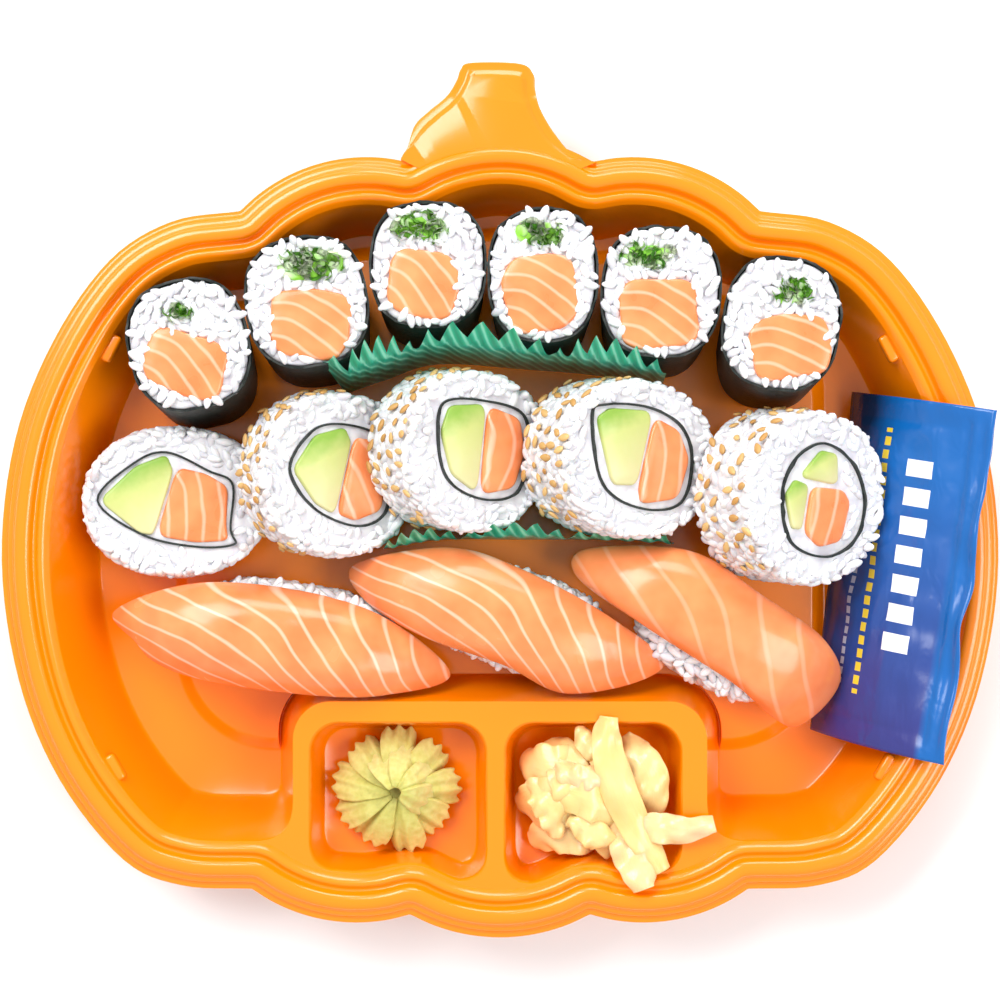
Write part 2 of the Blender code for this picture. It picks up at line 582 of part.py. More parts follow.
def make_hosomaki(number, x, y, half_width, half_depth, turn, salmon, onion, finishes):
    """A thin roll on its end: nori outside, rice, and salmon and spring onion through the middle."""
    name = f"hosomaki_{number}"
    centre = np.array((x, y)) * MM
    base = PLATEAU_TOP + GAP
    outer = superellipse(half_width * MM, half_depth * MM, ROLL_STEPS, 2.5, turn)
    rice = inset_outline(outer, NORI + GAP)
    fillings = []
    for right, back, wide, deep, angle in (salmon, onion):
        shape = superellipse(wide * MM, deep * MM, FILLING_STEPS, 2.7, angle)
        fillings.append(shape + np.array((right, back)) * MM)
    fillings[1] = wobbly(fillings[1], 0.05, 3, number)
    nori_inside = inset_outline(outer, NORI)
    solids = {
        "nori": stack(((outer, 0), (outer, HOSOMAKI_TALL - 0.6 * MM)), [nori_inside]),
        "rice": stack(((rice, 0), (rice, HOSOMAKI_TALL)), [grown(shape, GAP) for shape in fillings]),
        "salmon": stack(((fillings[0], 0), (fillings[0], HOSOMAKI_TALL + 0.3 * MM))),
        "onion": stack(((fillings[1], 0), (fillings[1], HOSOMAKI_TALL + 1.0 * MM))),
    }
    for layer, bm in solids.items():
        for vert in bm.verts:
            below_top = 1 - vert.co.z / HOSOMAKI_TALL
            size = 1 - HOSOMAKI_TAPER * below_top
            vert.co.x = centre[0] + vert.co.x * size
            vert.co.y = centre[1] + vert.co.y * size - HOSOMAKI_LEAN * below_top
            vert.co.z += base
        make_object(f"{name}_{layer}", bm, finishes[layer])


def make_uramaki(number, foot_x, mid_y, along, across, length, lean, turn, finishes):
    """A thick roll with its rice outside, leaning so that its cut face looks up and to the right."""
    name = f"uramaki_{number}"
    half = np.array((along, across)) * MM / 2
    length = length * MM
    outer = superellipse(half[0], half[1], ROLL_STEPS, 2.15)
    edge = URAMAKI_EDGE
    nori_outer = anticlockwise(smooth_outline(NORI_LOOPS[number - 1], NORI_STEPS)) * half
    nori_inner = inset_outline(nori_outer, NORI)
    shoulder, face = inset_outline(outer, 0.3 * edge), inset_outline(outer, edge)
    levels = ((face, 0), (outer, edge), (outer, length - edge), (shoulder, length - 0.3 * edge), (face, length))
    solids = {
        "rice": stack(levels, [grown(nori_outer, GAP)]),
        "nori": stack(((nori_outer, 0), (nori_outer, length)), [nori_inner]),
        "salmon": stack(((anticlockwise(np.array(SALMONS[number - 1])) * half, 0),
                         (anticlockwise(np.array(SALMONS[number - 1])) * half, length + 0.4 * MM))),
    }
    for at, corners in enumerate(AVOCADOS[number - 1]):
        shape = anticlockwise(np.array(corners)) * half
        layer = "avocado" if at == 0 else f"avocado_{at + 1}"
        solids[layer] = stack(((shape, 0), (shape, length + 0.2 * MM)))
    if number == len(URAMAKI):
        shape = anticlockwise(np.array(CORE_RICE)) * half
        solids["core_rice"] = stack(((shape, 0), (shape, length)))
    tilt = math.radians(lean)
    start = Vector((foot_x * MM - half[0] * math.cos(tilt), mid_y * MM,
                    PLATEAU_TOP + GAP + half[0] * math.sin(tilt)))
    place = (Matrix.Translation(start) @ Matrix.Rotation(math.radians(turn), 4, "Z")
             @ Matrix.Rotation(tilt, 4, "Y"))
    for layer, bm in solids.items():
        bmesh.ops.transform(bm, matrix=place, verts=bm.verts[:])
        make_object(f"{name}_{layer}", bm, finishes[layer.split("_")[0]])


def make_nigiri(number, turn, slice_edge, rice_x, rice_y, rice_long, rice_wide, rice_turn, finishes):
    """A block of rice with a slice of salmon draped over it."""
    base = PLATEAU_TOP + GAP
    levels = []
    for share, height in ((0.84, 0), (1.0, 0.18), (0.99, 0.6), (0.84, 0.86), (0.5, 0.98)):
        outline = superellipse(rice_long * MM * share, rice_wide * MM * share, 18, 2.8, rice_turn)
        levels.append((outline + np.array((rice_x, rice_y)) * MM, base + height * NIGIRI_RICE_TALL))
    make_object(f"nigiri_{number}_rice", stack(levels), finishes["rice"])

    bm = bmesh.new()
    top_height = base + NIGIRI_RICE_TALL + SLICE_LIFT + SLICE_THICK
    edge = turned(anticlockwise(smooth_outline(slice_edge, SLICE_STEPS)) * MM, -turn)
    middle = (edge.max(axis=0) + edge.min(axis=0)) / 2
    half = (edge.max(axis=0) - edge.min(axis=0)) / 2
    rings = {"over": [], "under": []}
    for share in SLICE_SHARES:
        outline = (edge - middle) * share
        flat = turned(outline + middle, turn)
        for side, loops in rings.items():
            if side == "under" and share == SLICE_SHARES[-1]:
                continue
            heights = slice_heights(outline / half, share, side == "under")
            loops.append([bm.verts.new((px, py, top_height + dz)) for (px, py), dz in zip(flat, heights)])
    over, under = rings["over"], rings["under"] + [rings["over"][-1]]
    for loops in (over, under):
        bm.faces.new(loops[0])
        for inner, outer in zip(loops, loops[1:]):
            bridge(bm, inner, outer)
    make_object(f"nigiri_{number}_salmon", bm, finishes["salmon"])


def slice_heights(places, share, under):
    """Depth below the slice's crest: it droops past the ends and sides of the rice."""
    depths = []
    for along, side in np.abs(places):
        droop = 13.5 * MM * along**3.2 + 5.2 * MM * side**2.4
        thick = SLICE_THICK * (1 - share**4) if under else 0
        rounding = 2.4 * MM * share**6 if not under else 2.4 * MM * share**6 * (1 - share)
        depths.append(-droop - thick - rounding)
    return depths


def make_rosette(finish):
    """The wasabi: ruffled petals round a centre, on the floor of the left pit."""
    bm = bmesh.new()
    loops = []
    for share, height in ((0.0, 1.0), (0.3, 0.97), (0.7, 0.84), (1.0, 0.52), (0.86, 0.0)):
        loop = []
        for angle in np.linspace(0, math.tau, WASABI_PETALS * 3, endpoint=False):
            wave = math.cos(WASABI_PETALS * angle)
            radius = WASABI_RADIUS * share * (1 + 0.07 * wave * share)
            lift = WASABI_TALL * height * (1 + 0.14 * wave * min(share * 2, 1) * (share < 0.95))
            loop.append((WASABI_CENTRE[0] + radius * math.cos(angle),
                         WASABI_CENTRE[1] + radius * math.sin(angle), PIT_FLOOR + GAP + lift))
        loops.append(loop)
    rings = [add_loop(bm, loop) for loop in loops[1:]]
    top = bm.verts.new((*WASABI_CENTRE, loops[0][0][2]))
    for at, vert in enumerate(rings[0]):
        bm.faces.new((top, vert, rings[0][(at + 1) % len(rings[0])]))
    for upper, lower in zip(rings, rings[1:]):
        bridge(bm, upper, lower)
    bmesh.ops.triangle_fill(bm, use_beauty=True, edges=loop_edges(bm, rings[-1]))
    return make_object("wasabi", bm, finish)


def make_tongue(name, path, width, finish):
    """A bent strip of ginger along a few points."""
    knots = [np.array(point) * MM for point in path]
    bm = bmesh.new()
    sections = []
    steps = 6
    for at in range(steps + 1):
        share = at / steps
        here = spline(knots, share)
        along = spline(knots, min(share + 0.01, 1)) - spline(knots, max(share - 0.01, 0))
        side = np.cross(along, (0, 0, 1))
        side *= width * MM / 2 * (1 - 0.45 * share) / np.linalg.norm(side)
        lift = np.array((0, 0, TONGUE_THICK))
        sections.append(add_loop(bm, [here - side, here + side, here + side * 0.9 + lift, here - side * 0.9 + lift]))
    for one, other in zip(sections, sections[1:]):
        bridge(bm, one, other)
    bm.faces.new(sections[0])
    bm.faces.new(sections[-1])
    return make_object(name, bm, finish)


def make_ginger(finish):
    """The heap of ginger slices out to its uneven outline, with the slices that reach past the pit."""
    levels = []
    for share, height in ((0.70, 0.0), (0.92, 0.10), (1.0, 0.38), (0.98, 0.66), (0.80, 0.86), (0.46, 1.0)):
        outline = superellipse(GINGER_HALF[0] * share, GINGER_HALF[1] * share, 24, 2.2)
        outline = wobbly(outline, 0.045, 3, 1.1 + share)
        levels.append((outline + np.array(GINGER_CENTRE), PIT_FLOOR + GAP + height * GINGER_TALL))
    heap = make_object("ginger", stack(levels), finish)
    for number, (path, width) in enumerate(GINGER_TONGUES, 1):
        join(heap, make_tongue(f"ginger_slice_{number}", path, width, finish))
    return heap


def make_divider(name, foot, tips, tip_height, teeth, finish):
    """A thin upright leaf with a saw-tooth top, taller in the middle of each of its three groups."""
    foot = [np.array(point) * MM for point in foot]
    tips = [np.array(point) * MM for point in tips]
    base = PLATEAU_TOP + GAP
    bm = bmesh.new()
    sides = ([], [])
    for at in range(2 * teeth + 1):
        share = at / (2 * teeth)
        below, above = spline(foot, share), spline(tips, share)
        group = abs(math.sin(math.pi * 3 * share))
        valley = 0 if at % 2 else 1
        height = tip_height * MM - base - (6.0 * (1 - group) + 3.0 * valley) * MM
        rise = height / (tip_height * MM - base)
        top = below + (above - below) * rise
        along = spline(foot, min(share + 0.01, 1)) - spline(foot, max(share - 0.01, 0))
        off = np.array((-along[1], along[0])) / np.linalg.norm(along) * DIVIDER_THICK / 2
        for sign, side in zip((-1, 1), sides):
            side.append((bm.verts.new((*(below + sign * off), base)),
                         bm.verts.new((*(top + sign * off), base + height))))
    front, back = sides
    for at in range(2 * teeth):
        for (low, high), (low_after, high_after) in ((front[at], front[at + 1]), (back[at], back[at + 1])):
            bm.faces.new((low, low_after, high_after, high))
        bm.faces.new((front[at][0], front[at + 1][0], back[at + 1][0], back[at][0]))
        bm.faces.new((front[at][1], front[at + 1][1], back[at + 1][1], back[at][1]))
    for at in (0, -1):
        bm.faces.new((front[at][0], front[at][1], back[at][1], back[at][0]))
    return make_object(name, bm, finish)


def make_sachet(finish):
    """A flat-sealed sachet, plump in the middle, leaning on the tray's right wall and rim."""
    top_left, top_right, low_right, low_left = SACHET_CORNERS
    bm = bmesh.new()
    across, down = 6, 12
    normal = np.cross(low_left - top_left, top_right - top_left)
    normal /= np.linalg.norm(normal)
    faces = {1: [], -1: []}
    for side, rows in faces.items():
        for row in range(down + 1):
            v = row / down
            left, right = top_left + v * (low_left - top_left), top_right + v * (low_right - top_right)
            cells = []
            for column in range(across + 1):
                u = column / across
                swell = (math.sin(math.pi * u) * math.sin(math.pi * v)) ** 0.7
                thick = SACHET_EDGE / 2 + side_share(side) * SACHET_THICK * swell
                bow = SACHET_BOW * math.sin(math.pi * u) * (1 - 0.8 * math.sin(math.pi * v))
                cells.append(bm.verts.new(left + u * (right - left) + (bow + side * thick) * normal))
            rows.append(cells)
    for rows in faces.values():
        for row, after in zip(rows, rows[1:]):
            for column in range(across):
                bm.faces.new((row[column], row[column + 1], after[column + 1], after[column]))
    upper, lower = faces[1], faces[-1]
    rim = [(r, 0) for r in range(down)] + [(down, c) for c in range(across)]
    rim += [(r, across) for r in range(down, 0, -1)] + [(0, c) for c in range(across, 0, -1)]
    for (r, c), (r2, c2) in zip(rim, rim[1:] + rim[:1]):
        bm.faces.new((upper[r][c], upper[r2][c2], lower[r2][c2], lower[r][c]))
    return make_object("sachet", bm, finish)


def side_share(side):
    """The sachet bulges more on top than beneath."""
    return 0.6 if side > 0 else 0.4


def main():
    clear_scene()
    finishes = {
        "tray": material("orange polystyrene", "FF9A1E", 0.22),
        "rice": material("cooked rice", "F2F0EC", 0.4),
        "core": material("cooked rice inside", "E4E2E4", 0.4),
        "nori": material("nori", "171F1A", 0.45),
        "salmon": material("raw salmon", "F58E50", 0.3),
        "onion": material("spring onion", "86B552", 0.4),
        "avocado": material("avocado", "D6D98A", 0.45),
        "divider": material("green plastic film", "1E9C6C", 0.35),
        "sachet": material("printed foil film", "0B5FB0", 0.3),
        "wasabi": material("wasabi paste", "D6D083", 0.6),
        "ginger": material("pickled ginger", "F8DFA6", 0.4),
    }
    make_tray(finishes["tray"])
    for number, sizes in enumerate(HOSOMAKI, 1):
        make_hosomaki(number, *sizes, finishes)
    for number, sizes in enumerate(URAMAKI, 1):
        make_uramaki(number, *sizes, finishes)
    for number, sizes in enumerate(NIGIRI, 1):
        make_nigiri(number, *sizes, finishes)
    for name, sizes in zip(("divider_back", "divider_front"), DIVIDERS):
        make_divider(name, *sizes, finishes["divider"])
    make_rosette(finishes["wasabi"])
    make_ginger(finishes["ginger"])
    make_sachet(finishes["sachet"])


main()
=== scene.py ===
"""Takeaway sushi tray: every visible piece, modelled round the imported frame.

Sizes are in metres, written as millimetres times MM. +Z is up and the pumpkin's stem points to +Y.
"""

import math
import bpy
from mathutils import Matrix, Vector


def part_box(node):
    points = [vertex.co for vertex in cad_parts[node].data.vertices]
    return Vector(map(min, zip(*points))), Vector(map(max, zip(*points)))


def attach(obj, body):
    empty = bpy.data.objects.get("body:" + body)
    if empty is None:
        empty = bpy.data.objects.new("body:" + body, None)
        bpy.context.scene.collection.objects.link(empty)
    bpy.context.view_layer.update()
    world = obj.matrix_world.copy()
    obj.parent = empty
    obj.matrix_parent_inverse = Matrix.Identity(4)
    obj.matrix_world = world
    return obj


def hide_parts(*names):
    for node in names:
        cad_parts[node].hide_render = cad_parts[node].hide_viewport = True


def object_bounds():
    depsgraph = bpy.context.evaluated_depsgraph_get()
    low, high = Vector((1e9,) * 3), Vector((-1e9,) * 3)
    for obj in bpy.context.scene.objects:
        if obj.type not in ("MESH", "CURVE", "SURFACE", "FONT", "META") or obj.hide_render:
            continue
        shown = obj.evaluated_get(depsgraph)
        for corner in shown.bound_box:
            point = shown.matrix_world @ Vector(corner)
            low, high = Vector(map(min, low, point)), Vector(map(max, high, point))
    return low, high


bl_info = {
    "name": "Takeaway sushi tray",
    "version": (1, 0, 0),
    "blender": (4, 5, 0),
    "location": "3D View > Sidebar > Sushi",
    "description": "Models a pumpkin-shaped tray of sushi with its wasabi, ginger, dividers and sachet",
    "category": "Add Mesh",
}

import bmesh
import bpy
import numpy as np
from mathutils import Matrix, Vector, noise

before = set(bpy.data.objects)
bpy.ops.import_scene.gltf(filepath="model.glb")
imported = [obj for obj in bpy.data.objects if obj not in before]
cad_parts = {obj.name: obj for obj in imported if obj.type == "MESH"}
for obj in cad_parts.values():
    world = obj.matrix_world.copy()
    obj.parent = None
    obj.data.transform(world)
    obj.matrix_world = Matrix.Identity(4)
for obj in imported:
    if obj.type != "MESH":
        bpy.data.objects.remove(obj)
CAD_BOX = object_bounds()

MM = 0.001
FLOOR_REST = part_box("hosomaki_1_rice")[0].z
PIT_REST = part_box("wasabi")[0].z


# ---------------------------------------------------------------- tray sizes

SHEET = 1.2 * MM
NOTCH_RADIUS = 1.2 * MM
RIM_ROWS = np.array(((0, 25.0), (1.3, 25.0), (1.9, 26.3), (3.1, 26.3), (3.8, 28.0), (7.0, 28.0),
                     (7.8, 25.8), (8.7, 25.8), (9.4, 26.9), (10.6, 26.9), (12.0, 25.4))) * MM
WALL_ROWS = ((0.0, 25.4), (0.012, 25.2), (0.04, 24.6), (0.10, 23.2), (0.5, 13.0), (0.80, 5.4), (0.87, 3.7),
             (0.93, 2.4), (0.99, 1.55), (1.05, 1.2))
WALL_DRAFT = 8.6 * MM
BACK_STEEPER = 0.42
PLATFORM_DRAFT = 5.0 * MM
PIT_ROWS = ((0.0, 25.4), (0.05, 25.25), (0.14, 24.7), (0.22, 23.6), (0.45, 18.0), (0.72, 12.6), (0.80, 11.6),
            (0.90, 11.0), (1.0, 10.8))
PIT_DRAFT = 3.2 * MM
PLATEAU_ROWS = ((0.0, 1.2), (0.10, 1.28), (0.30, 1.75), (0.70, 3.65), (0.90, 4.12), (1.0, 4.2))

TOP_CENTRE = (0, 91.4 * MM)
TOP_NOTCH = (-23.4 * MM, 85.0 * MM)
SHOULDER = (-44.0 * MM, 84.9 * MM)
UPPER_NOTCH = (-65.3 * MM, 72.6 * MM)
OUTER_LOBE = np.array((UPPER_NOTCH, (-0.0826, 0.0699), (-0.0982, 0.0601), (-0.1122, 0.0400),
                       (-0.1219, 0.0149), (-0.1252, -0.0152), (-0.1209, -0.0453), (-0.1106, -0.0704),
                       (-0.0946, -0.0904), (-0.0800, -0.0968), (-0.0623, -0.0977)))
LOWER_NOTCH = tuple(OUTER_LOBE[-1])
HIP = (-42.5 * MM, -105.7 * MM)
BOTTOM_NOTCH = (-22.6 * MM, -104.1 * MM)
BOTTOM_CENTRE = (0, -109.9 * MM)
OUTER_STEPS = 60
INNER_STEPS = 24
CENTRE_STEPS = 26

PLATFORM_HALF = 52.0 * MM
PLATFORM_TOP = -50.6 * MM
PLATFORM_CORNER = 9.5 * MM
PIT_TOP = -55.6 * MM
PIT_CORNER = 7.5 * MM
PIT_FROM_EDGE = 12.5 * MM
PITS = ((-48.1 * MM, -3.1 * MM), (0.9 * MM, 45.9 * MM))
PLATEAU_HALF = 85.0 * MM
PLATEAU_SIDE_END = 30.0 * MM
PLATEAU_BEHIND = 3.0 * MM
PLATEAU_FRONT = -65.7 * MM
PLATEAU_CORNER = 26.5 * MM
PLATEAU_SLOPE = 4.2 * MM
CLEAR = 0.35 * MM

STEM_EDGE = np.array(((24.2, 84.7), (18.9, 86.2), (13.6, 92.3), (10.1, 98.4), (8.9, 103.0), (8.4, 107.0),
                      (4.9, 109.7), (-7.4, 109.9), (-9.9, 108.2), (-10.9, 105.5), (-13.4, 101.5),
                      (-17.9, 97.7), (-21.4, 94.2), (-23.2, 88.9), (-24.9, 85.4))) * MM
STEM_FOOT_INSET = 3.5 * MM
STEM_STEP_Y = 99.6 * MM
# Across the stem from its edge: (share of the way to the panel's edge, height).
STEM_ROWS = ((0.0, 24.1), (0.0, 24.9), (0.06, 25.25), (0.50, 25.3), (0.62, 25.5), (0.82, 26.3), (1.0, 26.6))
STEM_LIP = 3.6 * MM
NUBS = ((-98.0, 38.2, 28), (98.0, 38.2, -28), (-97.0, -67.4, -30), (97.0, -67.4, 30))
NUB_SIZE = (2.8 * MM, 7.2 * MM, 4.2 * MM)
NUB_HEIGHT = 22.3 * MM

# ---------------------------------------------------------------- food sizes

# Thin rolls: centre of the top, half width, half depth, turn in degrees, then the salmon and the
# spring onion as (right, back, half width, half depth, turn).
HOSOMAKI = (
    (-77.0, 38.6, 15.2, 16.4, 12, (-0.6, -5.0, 10.4, 7.6, -18), (-2.2, 7.8, 3.0, 2.4, 0)),
    (-47.8, 49.2, 15.4, 16.4, 8, (1.0, -5.4, 10.0, 8.4, -4), (1.0, 9.0, 8.6, 3.8, 6)),
    (-17.8, 58.4, 14.6, 15.8, 0, (-1.4, -5.2, 8.8, 8.4, -10), (-1.8, 8.9, 7.4, 3.4, -6)),
    (10.6, 55.8, 13.8, 16.8, 0, (-0.6, -4.6, 9.4, 9.4, 4), (-1.0, 10.3, 6.2, 3.2, -4)),
    (39.8, 51.6, 15.0, 16.4, -4, (-0.6, -5.4, 9.8, 8.8, 5), (-3.6, 8.8, 6.6, 3.0, 2)),
    (69.6, 43.8, 14.8, 16.8, -8, (1.8, -6.0, 9.8, 8.0, 8), (2.4, 7.6, 4.6, 3.0, 14)),
)
HOSOMAKI_TALL = 31.8 * MM
HOSOMAKI_LEAN = 5.2 * MM
HOSOMAKI_TAPER = 0.1
NORI = 0.55 * MM

# Thick rolls: right edge on the floor, middle from front to back, diameter along the lean, diameter
# across, length, lean, turn.
URAMAKI = (
    (-60.2, -0.5, 47.4, 38.6, 17.2, 8, 0),
    (-28.0, 6.8, 44.0, 42.0, 15.4, 30, -5),
    (2.6, 12.8, 43.4, 40.8, 19.4, 33, -5),
    (43.6, 11.0, 45.0, 40.0, 22.4, 30, -5),
    (85.2, 1.4, 44.6, 43.8, 22.6, 33, -5),
)
NORI_LOOPS = (
    ((-0.84, 0.02), (-0.45, 0.52), (-0.10, 0.66), (0.34, 0.42), (0.60, 0.24), (0.58, -0.34),
     (0.62, -0.56), (0.22, -0.60), (-0.36, -0.44)),
    ((-0.66, 0.02), (-0.42, 0.50), (-0.02, 0.62), (0.46, 0.50), (0.62, 0.05), (0.60, -0.42),
     (0.24, -0.60), (-0.32, -0.42)),
    ((-0.58, 0.20), (-0.50, 0.58), (0.06, 0.64), (0.58, 0.52), (0.68, 0.05), (0.58, -0.46),
     (0.10, -0.58), (-0.40, -0.36)),
    ((-0.70, 0.46), (-0.52, 0.64), (0.05, 0.66), (0.50, 0.46), (0.68, 0.05), (0.58, -0.50),
     (0.06, -0.62), (-0.48, -0.36)),
    ((-0.52, 0.02), (-0.36, 0.44), (0.02, 0.64), (0.46, 0.46), (0.70, 0.04), (0.62, -0.42),
     (0.20, -0.66), (-0.34, -0.52)),
)
AVOCADOS = (
    (((-0.78, 0.02), (-0.42, 0.44), (-0.12, 0.58), (-0.06, 0.40), (-0.26, -0.40), (-0.38, -0.38)),),
    (((-0.58, 0.02), (-0.36, 0.42), (-0.02, 0.54), (0.06, 0.40), (-0.06, -0.44), (-0.28, -0.34)),),
    (((-0.50, 0.20), (-0.42, 0.50), (0.02, 0.56), (0.00, -0.46), (-0.32, -0.28)),),
    (((-0.60, 0.44), (-0.46, 0.56), (0.06, 0.58), (-0.06, -0.30), (-0.34, -0.32)),),
    (((-0.24, 0.24), (0.00, 0.52), (0.20, 0.50), (0.24, 0.20)),
     ((-0.44, 0.00), (-0.34, 0.16), (-0.18, 0.12), (-0.22, -0.34), (-0.32, -0.34))),
)
SALMONS = (
    ((0.02, 0.42), (0.30, 0.34), (0.52, 0.18), (0.50, -0.30), (0.52, -0.48), (0.20, -0.50), (-0.18, -0.42)),
    ((0.14, 0.44), (0.40, 0.42), (0.54, 0.05), (0.52, -0.36), (0.22, -0.50), (0.02, -0.44)),
    ((0.10, 0.54), (0.50, 0.44), (0.60, 0.05), (0.50, -0.38), (0.10, -0.48)),
    ((0.14, 0.50), (0.44, 0.38), (0.60, 0.05), (0.50, -0.42), (0.06, -0.52), (0.02, -0.36)),
    ((-0.08, 0.10), (0.34, 0.10), (0.44, -0.02), (0.36, -0.44), (0.08, -0.52), (-0.12, -0.38)),
)
FILLING_SWELL = 0.6 * MM
GRAIN_TOP = CAD_BOX[1][2] - 1.4 * MM
CORE_RICE = ((0.34, 0.44), (0.50, 0.30), (0.60, 0.02), (0.54, -0.34), (0.46, -0.44), (0.54, -0.02),
    (0.42, 0.18))

# Nigiri: turn of the slice and its edge in plan, then centre, half length, half width and turn of the rice.
NIGIRI = (
    (-11.5, ((-98.0, -28.0), (-72.0, -20.6), (-34.0, -27.2), (-12.6, -44.0), (-28.5, -49.0),
             (-47.0, -49.0), (-75.0, -45.2), (-87.0, -41.0), (-92.0, -36.0)),
     -51.6, -33.4, 25.0, 12.0, -10),
    (-19, ((-37.0, -16.4), (-13.0, -11.9), (6.0, -17.6), (28.6, -30.0), (41.6, -42.6), (17.4, -48.8),
           (1.0, -41.4), (-20.0, -34.0), (-34.6, -25.0)),
     4.0, -30.4, 23.5, 12.6, -19),
    (-25, ((19.4, -19.4), (22.4, -12.3), (48.0, -12.8), (66.0, -24.0), (81.6, -35.0), (86.6, -46.6),
           (76.0, -57.6), (68.0, -54.2), (58.0, -45.6), (36.0, -31.4)),
     55.4, -35.0, 21.0, 12.8, -27),
)
NIGIRI_RICE_TALL = 21.0 * MM
SLICE_THICK = 6.0 * MM
SLICE_LIFT = 1.4 * MM

DIVIDERS = (
    (((-40.0, 27.6), (-30.0, 31.0), (-16.0, 35.2), (8.0, 33.8), (26.0, 32.2), (42.0, 29.2)),
     ((-40.6, 31.2), (-30.0, 35.4), (-16.0, 39.4), (8.0, 37.2), (24.0, 35.4), (41.0, 32.4)), 43.0, 17),
    (((-29.5, -12.6), (-16.0, -10.4), (4.0, -10.3), (24.0, -10.3), (44.0, -10.6)),
     ((-29.5, -12.2), (-16.0, -9.8), (4.0, -8.8), (24.0, -9.6), (44.0, -11.0)), 34.0, 15),
)

SACHET_CORNERS = np.array(((91.4, 28.0, 6.2), (122.4, 22.0, 38.0), (109.4, -65.4, 36.0),
    (80.4, -59.4, 6.2))) * MM
# How far each film's teeth lean back, and from what height; the first tooth of the back one is the longest.
FILM_FLARES = ((5.0 * MM, 34.0 * MM), (3.2 * MM, 24.0 * MM))
FIRST_TOOTH = (-3.4 * MM, 3.2 * MM)

SACHET_THICK = 4.6 * MM
SACHET_BOW = 4.6 * MM

WASABI_CENTRE = (-26.3 * MM, -73.6 * MM)


# ---------------------------------------------------------------- outlines

def spline(knots, share):
    """A point on the smooth curve through the knots, for a share from 0 to 1."""
    place = share * (len(knots) - 1)
    at = min(int(place), len(knots) - 2)
    t = place - at
    before = knots[at - 1] if at else 2 * knots[0] - knots[1]
    after = knots[at + 2] if at + 2 < len(knots) else 2 * knots[-1] - knots[-2]
    here, there = knots[at], knots[at + 1]
    slope_here, slope_there = (there - before) / 2, (after - here) / 2
    return ((2 * t**3 - 3 * t**2 + 1) * here + (t**3 - 2 * t**2 + t) * slope_here
            + (3 * t**2 - 2 * t**3) * there + (t**3 - t**2) * slope_there)


def lobe(knots, steps):
    """Points and inward normals along one lobe, from notch to notch, anticlockwise."""
    knots = [np.array(knot, float) for knot in knots]
    nudge = 1e-3
    shares = np.linspace(0, 1, steps + 1)
    points = [spline(knots, share) for share in shares]
    normals = []
    for share in shares:
        along = spline(knots, min(share + nudge, 1)) - spline(knots, max(share - nudge, 0))
        along /= np.linalg.norm(along)
        normals.append(np.array((-along[1], along[0])))
    return points, normals


def arc_knots(start, middle, end, count=9):
    """Knots on the circle through three points."""
    (ax, ay), (bx, by), (cx, cy) = start, middle, end
    twice = 2 * (ax * (by - cy) + bx * (cy - ay) + cx * (ay - by))
    squares = [x * x + y * y for x, y in (start, middle, end)]
    centre = ((squares[0] * (by - cy) + squares[1] * (cy - ay) + squares[2] * (ay - by)) / twice,
              (squares[0] * (cx - bx) + squares[1] * (ax - cx) + squares[2] * (bx - ax)) / twice)
    radius = math.dist(centre, start)
    first, last = (math.atan2(p[1] - centre[1], p[0] - centre[0]) for p in (start, end))
    last = first + (last - first) % math.tau
    return [(centre[0] + radius * math.cos(a), centre[1] + radius * math.sin(a))
            for a in np.linspace(first, last, count)]


def arc(centre, radius, start, end, steps):
    angles = np.radians(np.linspace(start, end, steps + 1))
    return [(centre[0] + radius * math.cos(a), centre[1] + radius * math.sin(a)) for a in angles]


def quadratic(start, control, end, steps):
    """Points inside a quadratic curve, without its ends."""
    start, control, end = (np.array(point, float) for point in (start, control, end))
    shares = np.linspace(0, 1, steps + 2)[1:-1]
    return [tuple((1 - t) ** 2 * start + 2 * t * (1 - t) * control + t * t * end) for t in shares]


def mirrored(points):
    return [(-x, y) for x, y in reversed(points)]


def tray_outline():
    """Points, inward normals and notch marks round the tray's edge, anticlockwise from its top."""
    half_top = arc_knots((-TOP_NOTCH[0], TOP_NOTCH[1]), TOP_CENTRE, TOP_NOTCH)
    shoulder = arc_knots(TOP_NOTCH, SHOULDER, UPPER_NOTCH)
    hip = arc_knots(LOWER_NOTCH, HIP, BOTTOM_NOTCH)
    bottom = arc_knots(BOTTOM_NOTCH, BOTTOM_CENTRE, (-BOTTOM_NOTCH[0], BOTTOM_NOTCH[1]))
    outer = [tuple(point) for point in OUTER_LOBE]
    lobes = ((half_top, CENTRE_STEPS), (shoulder, INNER_STEPS), (outer, OUTER_STEPS), (hip, INNER_STEPS),
             (bottom, CENTRE_STEPS), (mirrored(hip), INNER_STEPS), (mirrored(outer), OUTER_STEPS),
             (mirrored(shoulder), INNER_STEPS))
    sampled = [lobe(knots, steps) for knots, steps in lobes]
    points, normals, notches = [], [], []
    for at, (lobe_points, lobe_normals) in enumerate(sampled):
        next_normals = sampled[(at + 1) % len(sampled)][1]
        points += lobe_points[1:-1]
        normals += lobe_normals[1:-1]
        ending, starting = lobe_normals[-1], next_normals[0]
        middle = (ending + starting) / np.linalg.norm(ending + starting)
        centre = lobe_points[-1] - middle * NOTCH_RADIUS / float(np.dot(middle, ending))
        notches.append(len(points))
        for share in np.linspace(0, 1, 7):
            normal = ending * (1 - share) + starting * share
            normal /= np.linalg.norm(normal)
            points.append(centre + NOTCH_RADIUS * normal)
            normals.append(normal)
    return np.array(points), np.array(normals), notches


